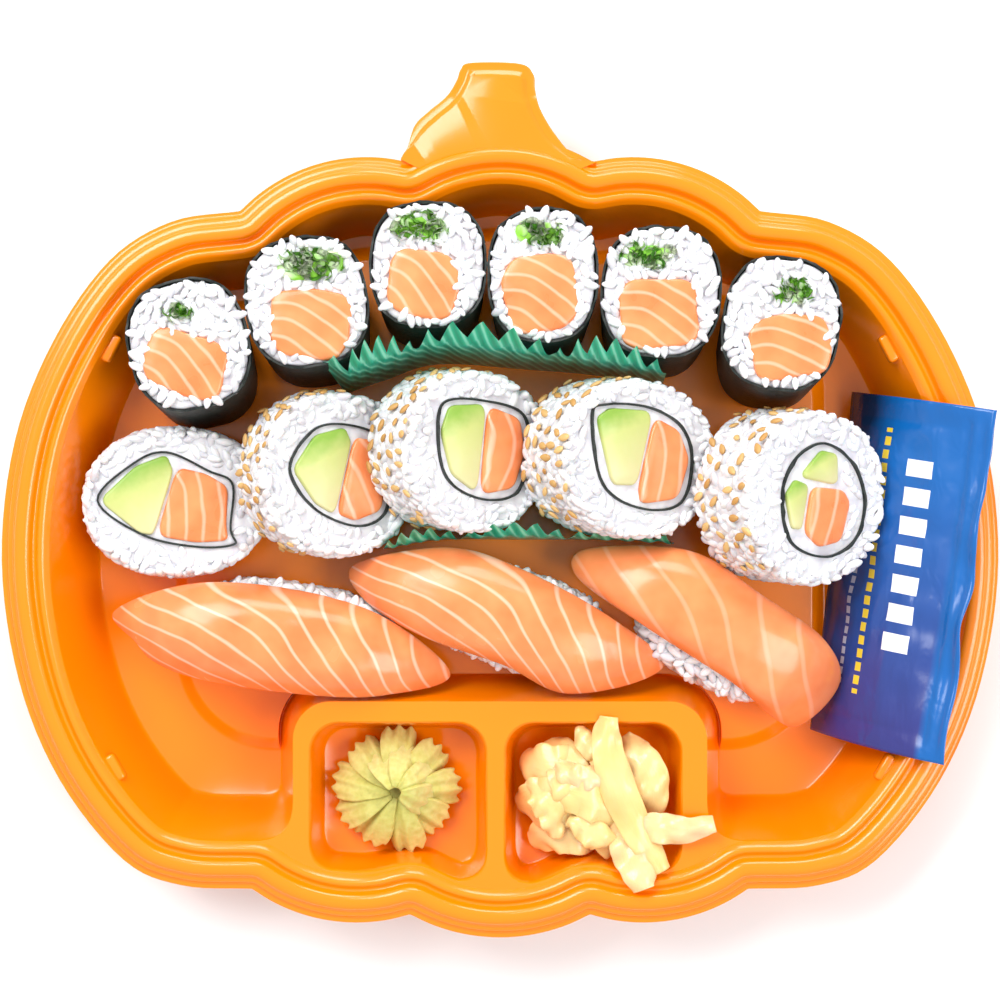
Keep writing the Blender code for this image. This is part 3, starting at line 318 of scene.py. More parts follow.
def pit_loop(points, normals, left, right, inset):
    """One pit's outline: straight sides, round corners, and a foot that follows the tray's edge."""
    near = [at for at, (x, y) in enumerate(points + normals * PIT_FROM_EDGE)
            if y < PIT_TOP - 20 * MM and left + PIT_CORNER * 0.9 < x < right - PIT_CORNER * 0.9]
    foot = [tuple(points[at] + normals[at] * (PIT_FROM_EDGE + inset)) for at in near]
    left, right, top = left + inset, right - inset, PIT_TOP - inset
    radius = PIT_CORNER - inset * 0.4
    loop = arc((right - radius, top - radius), radius, 0, 90, 10)
    loop += arc((left + radius, top - radius), radius, 90, 180, 10)
    loop.append((left, foot[0][1] + radius))
    loop += quadratic(loop[-1], (left, foot[0][1]), foot[0], 8)
    loop += foot
    corner_end = (right, foot[-1][1] + radius)
    loop += quadratic(foot[-1], (right, foot[-1][1]), corner_end, 8)
    loop.append(corner_end)
    return loop


def wall_draft(normals):
    """How far the wall leans in at each point: the back wall is the steepest."""
    return WALL_DRAFT * (1 - BACK_STEEPER * np.clip(-normals[:, 1:], 0, 1))


def cavity_loop(points, normals, notches, share):
    """The cavity's outline at a share of the draft: the outer wall, then the platform's walls."""
    ring = points + normals * (RIM_ROWS[-1][0] + share * wall_draft(normals))
    left_foot, right_foot = notches[2], notches[5] + 6
    outer = [tuple(p) for p in np.concatenate([ring[right_foot:], ring[:left_foot + 1]])]
    grow = share * PLATFORM_DRAFT
    half, top, radius = PLATFORM_HALF + grow, PLATFORM_TOP + grow, PLATFORM_CORNER + grow
    fillet = (1 - min(share, 1)) * 6.5 * MM + 3.5 * MM
    path = arc((-half + radius, top - radius), radius, 180, 90, 12)
    path += arc((half - radius, top - radius), radius, 90, 0, 12)
    left_corner, right_corner = (-half, outer[-1][1]), (half, outer[0][1])
    left_side, right_side = (-half, left_corner[1] + fillet), (half, right_corner[1] + fillet)
    loop = outer + quadratic(outer[-1], left_corner, left_side, 8) + [left_side] + path
    return loop + [right_side] + quadratic(right_side, right_corner, outer[0], 8), len(outer)


def plateau_loop(points, normals, inset):
    """The raised floor's outline: a back that follows the wall, and the platform cut out of its front."""
    half, front = PLATEAU_HALF - inset, PLATEAU_FRONT + inset
    radius = PLATEAU_CORNER - inset
    floor_edge = RIM_ROWS[-1][0] + wall_draft(normals) + PLATEAU_BEHIND
    back = [at for at, (x, y) in enumerate(points + normals * floor_edge)
            if y > PLATEAU_SIDE_END + 1 * MM and abs(x) < PLATEAU_HALF - 2 * MM]
    back = [at for at in back if at > len(points) // 2] + [at for at in back if at < len(points) // 2]
    beside = PLATFORM_DRAFT + CLEAR + 0.06 * inset
    inner_half, inner_top = PLATFORM_HALF + beside, PLATFORM_TOP + beside
    inner_radius = PLATFORM_CORNER + beside
    loop = arc((half - radius, front + radius), radius, -90, 0, 18)
    loop.append((half, PLATEAU_SIDE_END - inset))
    loop += [tuple(points[at] + normals[at] * (floor_edge[at] + inset)) for at in back]
    loop.append((-half, PLATEAU_SIDE_END - inset))
    loop += arc((-half + radius, front + radius), radius, 180, 270, 18)
    loop.append((-inner_half, front))
    loop += arc((-inner_half + inner_radius, inner_top - inner_radius), inner_radius, 180, 90, 12)
    loop += arc((inner_half - inner_radius, inner_top - inner_radius), inner_radius, 90, 0, 12)
    loop.append((inner_half, front))
    return loop


def turned(outline, degrees):
    a = math.radians(degrees)
    return outline @ np.array(((math.cos(a), math.sin(a)), (-math.sin(a), math.cos(a))))


def superellipse(half_width, half_depth, steps, power=2.4, turn=0.0):
    """An anticlockwise outline between an ellipse and a rounded rectangle."""
    outline = []
    for angle in np.linspace(0, math.tau, steps, endpoint=False):
        c, s = math.cos(angle), math.sin(angle)
        outline.append((half_width * math.copysign(abs(c) ** (2 / power), c),
                        half_depth * math.copysign(abs(s) ** (2 / power), s)))
    return turned(np.array(outline), turn)


def smooth_outline(knots, steps):
    """A smooth closed anticlockwise outline through a few knots."""
    knots = [np.array(knot, float) for knot in knots]
    count = len(knots)
    outline = []
    for place in np.linspace(0, count, steps, endpoint=False):
        at, t = int(place), place - int(place)
        a, b, c, d = (knots[(at + k) % count] for k in (-1, 0, 1, 2))
        outline.append(0.5 * (2 * b + (c - a) * t + (2 * a - 5 * b + 4 * c - d) * t**2
                              + (3 * b - a - 3 * c + d) * t**3))
    outline = np.array(outline)
    x, y = outline[:, 0], outline[:, 1]
    area = float(np.sum(x * np.roll(y, -1) - np.roll(x, -1) * y))
    return outline if area > 0 else outline[::-1]


def rounded_polygon(corners, steps, round_share=0.3):
    """A closed outline with straight sides and rounded corners."""
    corners = [np.array(corner, float) for corner in corners]
    outline = []
    for at, corner in enumerate(corners):
        before, after = corners[at - 1], corners[(at + 1) % len(corners)]
        start, end = corner + (before - corner) * round_share, corner + (after - corner) * round_share
        for t in np.linspace(0, 1, steps):
            outline.append((1 - t) ** 2 * start + 2 * t * (1 - t) * corner + t * t * end)
    outline = np.array(outline)
    x, y = outline[:, 0], outline[:, 1]
    area = float(np.sum(x * np.roll(y, -1) - np.roll(x, -1) * y))
    return outline if area > 0 else outline[::-1]


def inset_outline(outline, distance):
    """Moves each point of a closed anticlockwise outline inwards along its own normal."""
    along = np.roll(outline, -1, axis=0) - np.roll(outline, 1, axis=0)
    along /= np.linalg.norm(along, axis=1)[:, None]
    return outline + distance * np.stack([-along[:, 1], along[:, 0]], axis=1)


def inside(outline, points):
    """Which of the points lie inside a closed outline."""
    result = np.zeros(len(points), bool)
    x, y = points[:, 0], points[:, 1]
    following = np.roll(outline, -1, axis=0)
    for (ax, ay), (bx, by) in zip(outline, following):
        crosses = (ay > y) != (by > y)
        if not crosses.any():
            continue
        at = ax + (y - ay) * (bx - ax) / (by - ay if by != ay else 1e-12)
        result ^= crosses & (x < at)
    return result


# ---------------------------------------------------------------- mesh helpers

def ring(bm, points, height=None):
    """A closed loop of vertices and edges; 2-D points take the given height."""
    verts = [bm.verts.new(p if height is None else (p[0], p[1], height)) for p in points]
    edges = [bm.edges.new((verts[at], verts[(at + 1) % len(verts)])) for at in range(len(verts))]
    return verts, edges


def skin(bm, rings):
    """Joins each loop of points to the next one with a band of faces."""
    for (lower, _), (upper, _) in zip(rings, rings[1:]):
        for at in range(len(lower)):
            after = (at + 1) % len(lower)
            bm.faces.new((lower[at], lower[after], upper[after], upper[at]))


def cap(bm, *loops):
    """Fills a flat region: the first loop is its border and the others are holes."""
    edges = [edge for _, loop in loops for edge in loop]
    bmesh.ops.triangle_fill(bm, use_beauty=True, use_dissolve=False, edges=edges)


def tidy(bm):
    """Merges doubled points and turns every face outwards."""
    bmesh.ops.remove_doubles(bm, verts=bm.verts[:], dist=1e-7)
    bmesh.ops.recalc_face_normals(bm, faces=bm.faces[:])
    if bm.calc_volume(signed=True) < 0:
        bmesh.ops.reverse_faces(bm, faces=bm.faces[:])


def add_piece(name, bm, finish, nodes, sharp=180, levels=0):
    """Turns a bmesh into a smooth-shaded piece that rides on the frame and stands for its nodes."""
    mesh = bpy.data.meshes.new(name)
    bm.to_mesh(mesh)
    bm.free()
    return add_mesh_piece(name, mesh, finish, nodes, sharp, levels)


def add_mesh_piece(name, mesh, finish, nodes, sharp=180, levels=0):
    mesh.materials.append(finish)
    mesh.shade_smooth()
    if sharp < 180:
        mesh.set_sharp_from_angle(angle=math.radians(sharp))
    obj = bpy.data.objects.new(name, mesh)
    bpy.context.scene.collection.objects.link(obj)
    if levels:
        subdivision = obj.modifiers.new("Subdivision", "SUBSURF")
        subdivision.levels = subdivision.render_levels = levels
    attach(obj, "root")
    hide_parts(*nodes)
    return obj


def scattered(name, shape, places, finish, nodes):
    """One mesh made of a small shape repeated at each (matrix, tint); the tint is kept on its points."""
    base = np.array([v.co for v in shape.verts])
    faces = [[v.index for v in face.verts] for face in shape.faces]
    count = len(base)
    points, all_faces, tints = [], [], []
    for at, (matrix, tint) in enumerate(places):
        m = np.array(matrix)
        points.append(base @ m[:3, :3].T + m[:3, 3])
        all_faces += [[index + at * count for index in face] for face in faces]
        tints += [tint] * count
    mesh = bpy.data.meshes.new(name)
    mesh.from_pydata(np.concatenate(points).tolist(), [], all_faces)
    attribute = mesh.attributes.new("tint", "FLOAT", "POINT")
    attribute.data.foreach_set("value", np.array(tints, np.float32))
    return add_mesh_piece(name, mesh, finish, nodes)


def grain_shape(length, width):
    """One plump cooked grain, slightly bent, along X."""
    bm = bmesh.new()
    bmesh.ops.create_uvsphere(bm, u_segments=7, v_segments=7, radius=1)
    for vert in bm.verts:
        z, y, x = vert.co
        plump = 1 - 0.12 * x * x
        vert.co = (x * length / 2, y * width / 2 * plump + 0.10 * width * (x * x - 0.4),
            z * width / 2 * 0.92 * plump)
    bm.verts.index_update()
    return bm


def seed_shape():
    """One sesame seed: a flat drop, along X."""
    bm = bmesh.new()
    bmesh.ops.create_uvsphere(bm, u_segments=7, v_segments=6, radius=1)
    for vert in bm.verts:
        z, y, x = vert.co
        narrow = 1 - 0.45 * max(x, 0) ** 1.5
        vert.co = (x * 1.55 * MM, y * 0.95 * MM * narrow, z * 0.45 * MM)
    bm.verts.index_update()
    return bm


def facing(point, normal, spin, tilt=0.0, scale=1.0):
    """A place on a surface: +Z along the normal, turned about it, and tilted a little."""
    normal = Vector(normal).normalized()
    turn = normal.to_track_quat("Z", "Y").to_matrix().to_4x4()
    return (Matrix.Translation(Vector(point)) @ turn @ Matrix.Rotation(spin, 4, "Z")
            @ Matrix.Rotation(tilt, 4, "Y") @ Matrix.Scale(scale, 4))


def spread(candidates, distance, most):
    """Picks candidate points that keep a distance from each other, by cells of a grid."""
    chosen, cells = [], {}
    for at, point in enumerate(candidates):
        key = tuple(int(math.floor(v / distance)) for v in point)
        near = (cells.get((key[0] + i, key[1] + j, key[2] + k), ())
                for i in (-1, 0, 1) for j in (-1, 0, 1) for k in (-1, 0, 1))
        if any(math.dist(point, candidates[other]) < distance for group in near for other in group):
            continue
        cells.setdefault(key, []).append(at)
        chosen.append(at)
        if len(chosen) >= most:
            break
    return chosen


# ---------------------------------------------------------------- materials

def linear(channel):
    return channel / 12.92 if channel <= 0.04045 else ((channel + 0.055) / 1.055) ** 2.4


def colour(hex_code):
    """An sRGB hex colour as linear RGBA."""
    return (*(linear(int(hex_code[at:at + 2], 16) / 255) for at in (0, 2, 4)), 1.0)


def mix_colour(first, second, share):
    return tuple(a + (b - a) * share for a, b in zip(first, second))


def add_node(tree, kind, settings=None, inputs=None):
    """Adds a node, sets its properties, and sets or links its inputs."""
    node = tree.nodes.new(kind)
    for name, value in (settings or {}).items():
        setattr(node, name, value)
    for name, value in (inputs or {}).items():
        if isinstance(value, bpy.types.NodeSocket):
            tree.links.new(value, node.inputs[name])
        else:
            node.inputs[name].default_value = value
    return node


def add_ramp(tree, factor, *stops):
    """A colour ramp with (place, linear colour) stops."""
    node = add_node(tree, "ShaderNodeValToRGB", None, {"Fac": factor})
    elements = node.color_ramp.elements
    while len(elements) > 1:
        elements.remove(elements[-1])
    elements[0].position, elements[0].color = stops[0]
    for place, value in stops[1:]:
        element = elements.new(place)
        element.color = value
    return node.outputs["Color"]


def add_mix(tree, factor, first, second):
    node = add_node(tree, "ShaderNodeMix", {"data_type": "RGBA"})
    for name, value in (("Factor", factor), ("A", first), ("B", second)):
        socket = next(s for s in node.inputs if s.name == name and s.enabled)
        if isinstance(value, bpy.types.NodeSocket):
            tree.links.new(value, socket)
        else:
            socket.default_value = value
    return next(s for s in node.outputs if s.enabled)


def start_material(name, roughness, coat=0.0, specular_ior=1.45, subsurface=0.0, radius=1.5 * MM):
    """A Principled material; returns it with its node tree and shader."""
    made = bpy.data.materials.new(name)
    made.use_nodes = True
    tree = made.node_tree
    shader = tree.nodes["Principled BSDF"]
    shader.inputs["Roughness"].default_value = roughness
    shader.inputs["Coat Weight"].default_value = coat
    shader.inputs["Coat Roughness"].default_value = 0.12
    shader.inputs["IOR"].default_value = specular_ior
    shader.inputs["Subsurface Weight"].default_value = subsurface
    shader.inputs["Subsurface Radius"].default_value = (1.0, 0.5, 0.3)
    shader.inputs["Subsurface Scale"].default_value = radius
    return made, tree, shader


def object_coordinates(tree):
    return add_node(tree, "ShaderNodeTexCoord").outputs["Object"]


def add_noise(tree, vector, per_metre, detail=2.0, distortion=0.0):
    node = add_node(tree, "ShaderNodeTexNoise", None, {
        "Vector": vector, "Scale": per_metre, "Detail": detail, "Distortion": distortion})
    return node.outputs["Fac"]


def add_bump(tree, shader, height, distance, strength=1.0):
    node = add_node(tree, "ShaderNodeBump", None,
        {"Height": height, "Distance": distance, "Strength": strength})
    tree.links.new(node.outputs["Normal"], shader.inputs["Normal"])


def polystyrene_material(settings):
    """High-gloss vacuum-formed polystyrene: clean even orange, with very slow waves in its reflections."""
    made, tree, shader = start_material("vacuum-formed polystyrene", 0.16, specular_ior=1.59)
    where = object_coordinates(tree)
    cloud = add_noise(tree, where, 1 / (60 * MM), 1)
    base = colour(settings.tray_colour)
    deep = mix_colour(base, colour(settings.tray_deep_colour), 0.5)
    tree.links.new(add_mix(tree, cloud, base, deep), shader.inputs["Base Color"])
    rough = add_node(tree, "ShaderNodeMapRange", None, {"Value": add_noise(tree, where, 1 / (25 * MM)),
                                                        "To Min": 0.12, "To Max": 0.24})
    tree.links.new(rough.outputs["Result"], shader.inputs["Roughness"])
    add_bump(tree, shader, add_noise(tree, where, 1 / (18 * MM), 1), 0.25 * MM, 0.5)
    return made


def rice_material(settings):
    """Steamed sushi rice: milky, moist and a little see-through, each grain slightly different."""
    made, tree, shader = start_material("steamed short-grain rice", 0.34, coat=0.12, subsurface=0.18,
        radius=2.0 * MM)
    tint = add_node(tree, "ShaderNodeAttribute", {"attribute_name": "tint"}).outputs["Fac"]
    light = colour(settings.rice_colour)
    shadow = colour(settings.rice_shadow_colour)
    base = add_ramp(tree, tint, (0.0, mix_colour(light, shadow, 0.75)), (0.45, light), (1.0, light))
    tree.links.new(base, shader.inputs["Base Color"])
    add_bump(tree, shader, add_noise(tree, object_coordinates(tree), 1 / (1.2 * MM), 1), 0.05 * MM, 0.35)
    return made


def rice_core_material(settings):
    """The sticky mass between the grains: the same starch, seen in shade."""
    made, tree, shader = start_material("pressed rice mass", 0.45, subsurface=0.15, radius=2.0 * MM)
    lumps = add_node(tree, "ShaderNodeTexVoronoi", {"feature": "F1"}, {
        "Vector": object_coordinates(tree), "Scale": 1 / (3.2 * MM)}).outputs["Distance"]
    base = add_ramp(tree, lumps, (0.1, colour(settings.rice_colour)),
                    (0.9, colour(settings.rice_shadow_colour)))
    tree.links.new(base, shader.inputs["Base Color"])
    add_bump(tree, shader, lumps, -0.5 * MM, 0.8)
    return made


def nori_material(settings):
    """Roasted nori: near-black green sheet with a fine crinkle and dull sheen."""
    made, tree, shader = start_material("roasted nori", 0.5)
    where = object_coordinates(tree)
    fibres = add_noise(tree, where, 1 / (1.4 * MM), 3, 0.4)
    base = add_ramp(tree, fibres, (0.35, colour(settings.nori_colour)),
        (0.75, colour(settings.nori_light_colour)))
    tree.links.new(base, shader.inputs["Base Color"])
    add_bump(tree, shader, fibres, 0.25 * MM, 0.7)
    return made


def salmon_material(settings, name, period, line_share, line_strength, gloss=0.2, bend=1.6):
    """Raw salmon: wet orange muscle with thin pale fat lines that bend along the piece's own map."""
    made, tree, shader = start_material(name, gloss, coat=0.25, subsurface=0.18, radius=2.5 * MM)
    where = add_node(tree, "ShaderNodeUVMap", {"uv_map": "fibre"}).outputs["UV"]
    wave = add_node(tree, "ShaderNodeTexWave", {"wave_type": "BANDS", "bands_direction": "X",
                                                "wave_profile": "SIN"}, {
        "Vector": where, "Scale": 0.314 / period, "Distortion": bend, "Detail": 1.5, "Detail Scale": 0.7})
    flesh_noise = add_noise(tree, object_coordinates(tree), 1 / (9 * MM), 2)
    flesh = add_ramp(tree, flesh_noise, (0.3, colour(settings.salmon_deep_colour)),
                     (0.7, colour(settings.salmon_colour)))
    lines = add_ramp(tree, wave.outputs["Fac"], (1 - line_share, (0, 0, 0, 1)), (1.0, (1, 1, 1, 1)))
    line_mask = add_node(tree, "ShaderNodeMath", {"operation": "MULTIPLY"}, {0: lines, 1: line_strength})
    base = add_mix(tree, line_mask.outputs[0], flesh, colour(settings.salmon_fat_colour))
    tree.links.new(base, shader.inputs["Base Color"])
    rough = add_node(tree, "ShaderNodeMapRange", None, {"Value": flesh_noise, "To Min": gloss * 0.7,
                                                        "To Max": gloss * 1.7})
    tree.links.new(rough.outputs["Result"], shader.inputs["Roughness"])
    add_bump(tree, shader, wave.outputs["Fac"], 0.18 * MM, 0.5)
    return made


def onion_material(settings):
    """Cut spring onion: moist, from leaf green to nearly white at the stalk."""
    made, tree, shader = start_material("cut spring onion", 0.3, coat=0.15, subsurface=0.12)
    tint = add_node(tree, "ShaderNodeAttribute", {"attribute_name": "tint"}).outputs["Fac"]
    base = add_ramp(tree, tint, (0.0, colour(settings.onion_dark_colour)),
        (0.4, colour(settings.onion_colour)),
                    (0.75, colour(settings.onion_pale_colour)))
    tree.links.new(base, shader.inputs["Base Color"])
    return made


def avocado_material(settings):
    """Ripe avocado: buttery yellow flesh that turns green towards the skin side."""
    made, tree, shader = start_material("ripe avocado", 0.38, coat=0.08, subsurface=0.15)
    skin = add_node(tree, "ShaderNodeAttribute", {"attribute_name": "skin"}).outputs["Fac"]
    noise_value = add_noise(tree, object_coordinates(tree), 1 / (3 * MM), 2)
    shifted = add_node(tree, "ShaderNodeMath", {"operation": "MULTIPLY_ADD"},
        {0: noise_value, 1: 0.16, 2: skin})
    base = add_ramp(tree, shifted.outputs[0], (0.25, colour(settings.avocado_colour)),
                    (0.75, colour(settings.avocado_mid_colour)),
                    (1.05, colour(settings.avocado_green_colour)))
    tree.links.new(base, shader.inputs["Base Color"])
    return made


def film_material(settings):
    """Thin embossed polythene film: bright translucent green, with painted shade in its upright creases and
    painted highlights on the ridges between them.
    """
    made, tree, shader = start_material("green polythene film", 0.28, subsurface=0.2, radius=3 * MM)
    where = add_node(tree, "ShaderNodeUVMap", {"uv_map": "fibre"}).outputs["UV"]
    # The wave bands are painted light: painted shade in the creases and painted highlights on the ridges.
    creases = add_node(tree, "ShaderNodeTexWave", {"bands_direction": "X"}, {
        "Vector": where, "Scale": 0.11, "Distortion": 0.6, "Detail": 1.0}).outputs["Fac"]
    base = add_ramp(tree, creases, (0.0, colour(settings.film_dark_colour)),
        (0.7, colour(settings.film_colour)),
                    (1.0, colour(settings.film_light_colour)))
    tree.links.new(base, shader.inputs["Base Color"])
    return made


def sesame_material(settings):
    """Toasted sesame: dry golden seeds from pale to brown."""
    made, tree, shader = start_material("toasted sesame", 0.42, subsurface=0.08)
    tint = add_node(tree, "ShaderNodeAttribute", {"attribute_name": "tint"}).outputs["Fac"]
    base = add_ramp(tree, tint, (0.0, colour(settings.sesame_dark_colour)),
        (1.0, colour(settings.sesame_colour)))
    tree.links.new(base, shader.inputs["Base Color"])
    return made


def wasabi_material(settings):
    """Piped wasabi paste: matte pale green with a grainy surface, painted brownish shade in the hollow at its
    centre and painted light towards the petals' tips and on the upper round.
    """
    made, tree, shader = start_material("wasabi paste", 0.62, subsurface=0.12)
    where = object_coordinates(tree)
    # The tint carries painted light: low in the shaded centre, higher towards the petals' tips and on the
    # upper round.
    edge = add_node(tree, "ShaderNodeAttribute", {"attribute_name": "tint"}).outputs["Fac"]
    grain = add_noise(tree, where, 1 / (1.6 * MM), 3)
    shifted = add_node(tree, "ShaderNodeMath", {"operation": "MULTIPLY_ADD"}, {0: grain, 1: 0.5, 2: edge})
    base = add_ramp(tree, shifted.outputs[0], (0.2, colour(settings.wasabi_dark_colour)),
                    (0.65, colour(settings.wasabi_colour)), (1.2, colour(settings.wasabi_light_colour)))
    tree.links.new(base, shader.inputs["Base Color"])
    add_bump(tree, shader, grain, 0.3 * MM, 0.6)
    return made


def ginger_material(settings):
    """Pickled ginger: wet see-through slices, cream with a blush of pink and long fibres."""
    made, tree, shader = start_material("pickled ginger", 0.24, coat=0.2, subsurface=0.2, radius=3 * MM)
    where = object_coordinates(tree)
    blush = add_node(tree, "ShaderNodeAttribute", {"attribute_name": "tint"}).outputs["Fac"]
    cloud = add_noise(tree, where, 1 / (8 * MM), 2)
    flesh = add_mix(tree, cloud, colour(settings.ginger_colour), colour(settings.ginger_deep_colour))
    base = add_mix(tree, blush, flesh, colour(settings.ginger_pink_colour))
    tree.links.new(base, shader.inputs["Base Color"])
    fibre = add_node(tree, "ShaderNodeUVMap", {"uv_map": "fibre"}).outputs["UV"]
    stretch = add_node(tree, "ShaderNodeMapping", None, {"Vector": fibre, "Scale": (0.12, 1.4, 1.0)})
    add_bump(tree, shader, add_noise(tree, stretch.outputs["Vector"], 1.0, 2), 0.18 * MM, 0.5)
    return made


def sachet_material(settings):
    """Printed and laminated film: bright blue with a navy field down the left side that is partly print and
    partly painted shade, a yellow line and white bars.
    """
    made, tree, shader = start_material("printed laminated film", 0.24, coat=0.3)
    where = add_node(tree, "ShaderNodeUVMap", {"uv_map": "print"}).outputs["UV"]
    split = add_node(tree, "ShaderNodeSeparateXYZ", None, {"Vector": where})
    across, down = split.outputs["X"], split.outputs["Y"]
    cloud = add_noise(tree, where, 5.0, 2)
    lower = add_ramp(tree, down, (0.2, colour(settings.print_blue)), (0.95, colour(settings.print_purple)))
    field = add_node(tree, "ShaderNodeMath", {"operation": "MULTIPLY_ADD"}, {0: cloud, 1: 0.25, 2: across})
    slope = add_node(tree, "ShaderNodeMath", {"operation": "MULTIPLY_ADD"}, {0: down, 1: 0.42,
                                                                            2: field.outputs[0]})
    # The navy field, wide at the top and narrower below, is print with painted shade along the sachet's left
    # side.
    navy_mask = add_ramp(tree, slope.outputs[0], (0.34, (1, 1, 1, 1)), (0.56, (0, 0, 0, 1)))
    base = add_mix(tree, navy_mask, lower, colour(settings.print_navy))
    seal_mask = add_ramp(tree, across, (0.82, (0, 0, 0, 1)), (0.86, (1, 1, 1, 1)))
    base = add_mix(tree, seal_mask, base, colour(settings.print_blue))

    def bars(centre, half, period, fill, start, end, shade, bottom):
        """Plain bars along the sachet's length."""
        offset = add_node(tree, "ShaderNodeMath", {"operation": "COMPARE"}, {0: across, 1: centre, 2: half})
        repeat = add_node(tree, "ShaderNodeMath", {"operation": "FRACT"}, {
            0: add_node(tree, "ShaderNodeMath", {"operation": "MULTIPLY"}, {0: down, 1: period}).outputs[0]})
        lit = add_node(tree, "ShaderNodeMath", {"operation": "LESS_THAN"}, {0: repeat.outputs[0], 1: fill})
        after = add_node(tree, "ShaderNodeMath", {"operation": "COMPARE"}, {
            0: down, 1: (start + end) / 2, 2: (end - start) / 2})
        both = add_node(tree, "ShaderNodeMath", {"operation": "MULTIPLY"},
            {0: offset.outputs[0], 1: lit.outputs[0]})
        mask = add_node(tree, "ShaderNodeMath", {"operation": "MULTIPLY"}, {0: both.outputs[0],
                                                                           1: after.outputs[0]})
        return add_mix(tree, mask.outputs[0], bottom, shade)

    white = colour(settings.print_white)
    base = bars(0.60, 0.085, 12.0, 0.62, 0.17, 0.74, white, base)
    base = bars(0.36, 0.022, 26.0, 0.66, 0.09, 0.86, colour(settings.print_yellow), base)
    base = bars(0.22, 0.016, 34.0, 0.7, 0.30, 0.84, mix_colour(white, colour(settings.print_blue), 0.45),
        base)
    tree.links.new(base, shader.inputs["Base Color"])
    add_bump(tree, shader, add_noise(tree, where, 9.0, 2, 0.6), 0.7 * MM, 0.6)
    return made


def floor_material(settings):
    """A plain matte painted board."""
    made, _, shader = start_material("matte painted board", 0.9)
    shader.inputs["Base Color"].default_value = colour(settings.floor_colour)
    return made


# ---------------------------------------------------------------- tray

def rounded_rows(rows, rounds=2):
    """Cuts the corners of a profile, keeping its ends."""
    rows = np.array(rows, float)
    for _ in range(rounds):
        cut = [rows[0]]
        for here, after in zip(rows, rows[1:]):
            cut += [here * 0.75 + after * 0.25, here * 0.25 + after * 0.75]
        rows = np.array(cut + [rows[-1]])
    return rows


def make_tray(finish):
    points, normals, notches = tray_outline()
    bm = bmesh.new()
    rim = [ring(bm, points + normals * inset, height) for inset, height in rounded_rows(RIM_ROWS)]
    skin(bm, rim)
    deck_verts, deck_edges = rim[-1]
    left_foot, right_foot = notches[2], notches[5] + 6
    count = len(deck_verts)

    walls = []
    for share, height in WALL_ROWS:
        loop, outer_count = cavity_loop(points, normals, notches, share)
        if walls:
            walls.append(ring(bm, loop, height * MM))
            continue
        shared = deck_verts[right_foot:] + deck_verts[:left_foot + 1]
        path = shared + [bm.verts.new((x, y, height * MM)) for x, y in loop[outer_count:]]
        edges = []
        for at, vert in enumerate(path):
            other = path[(at + 1) % len(path)]
            edges.append(bm.edges.get((vert, other)) or bm.edges.new((vert, other)))
        walls.append((path, edges))
    skin(bm, walls)

    pit_tops = []
    for left, right in PITS:
        loops = [ring(bm, pit_loop(points, normals, left, right, share * PIT_DRAFT), height * MM)
                 for share, height in PIT_ROWS]
        skin(bm, loops)
        cap(bm, loops[-1])
        pit_tops.append(loops[0])
    front = [deck_edges[at % count] for at in range(left_foot, right_foot)]
    platform_side = walls[0][1][outer_count - 1:]
    cap(bm, (None, front + platform_side), *pit_tops)

    plateau = [ring(bm, plateau_loop(points, normals, share * PLATEAU_SLOPE), height * MM)
               for share, height in PLATEAU_ROWS]
    skin(bm, plateau)
    cap(bm, walls[-1], plateau[0])
    cap(bm, plateau[-1])
    lower = bmesh.ops.extrude_face_region(bm, geom=bm.faces[:])["geom"]
    bmesh.ops.translate(bm, verts=[v for v in lower if isinstance(v, bmesh.types.BMVert)], vec=(0, 0, -SHEET))
    tidy(bm)
    return add_piece("tray_sheet", bm, finish, ["tray"], sharp=35)


def make_stem(finish):
    """The stem's flange: a lip and a panel raised on it, with one shallow step across."""
    along_rim, inwards = lobe(arc_knots((-TOP_NOTCH[0], TOP_NOTCH[1]), TOP_CENTRE, TOP_NOTCH), 24)
    foot = (np.array(along_rim) + np.array(inwards) * STEM_FOOT_INSET)[-2:0:-1]
    edge = np.array([spline(list(STEM_EDGE), share) for share in np.linspace(0, 1, 90)])
    outline = np.concatenate([edge, foot])
    panel = outline.copy()
    inner = inset_outline(outline, STEM_LIP)
    for at in range(len(edge)):
        near_foot = min(at, len(edge) - 1 - at) / len(edge)
        panel[at] += (inner[at] - outline[at]) * smooth_step((near_foot - 0.03) / 0.12)
    bm = bmesh.new()
    rings = []
    for share, height in STEM_ROWS:
        row = outline * (1 - share) + panel * share
        heights = [height * MM - 0.7 * MM * share * smooth_step((y - STEM_STEP_Y) / (1.2 * MM)) for _,
            y in panel]
        rings.append(ring(bm, [(x, y, z) for (x, y), z in zip(row, heights)]))
    skin(bm, rings)
    cap(bm, rings[0])
    cap(bm, rings[-1])
    tidy(bm)
    return add_piece("tray_stem", bm, finish, ["tray"], sharp=50)


def smooth_step(t):
    t = min(max(t, 0.0), 1.0)
    return t * t * (3 - 2 * t)


def make_nubs(finish):
    """The four small bumps on the wall that hold the lid."""
    bm = bmesh.new()
    for x, y, turn in NUBS:
        made = bmesh.ops.create_cube(bm, size=1)["verts"]
        bmesh.ops.scale(bm, vec=NUB_SIZE, verts=made)
        place = Matrix.Translation((x * MM, y * MM, NUB_HEIGHT)) @ Matrix.Rotation(math.radians(-turn), 4,
            "Z")
        bmesh.ops.transform(bm, matrix=place, verts=made)
    bmesh.ops.bevel(bm, geom=bm.edges[:], offset=0.9 * MM, segments=4, affect="EDGES", profile=0.5,
        material=-1)
    tidy(bm)
    return add_piece("tray_nubs", bm, finish, ["tray"])


# ---------------------------------------------------------------- shared food parts

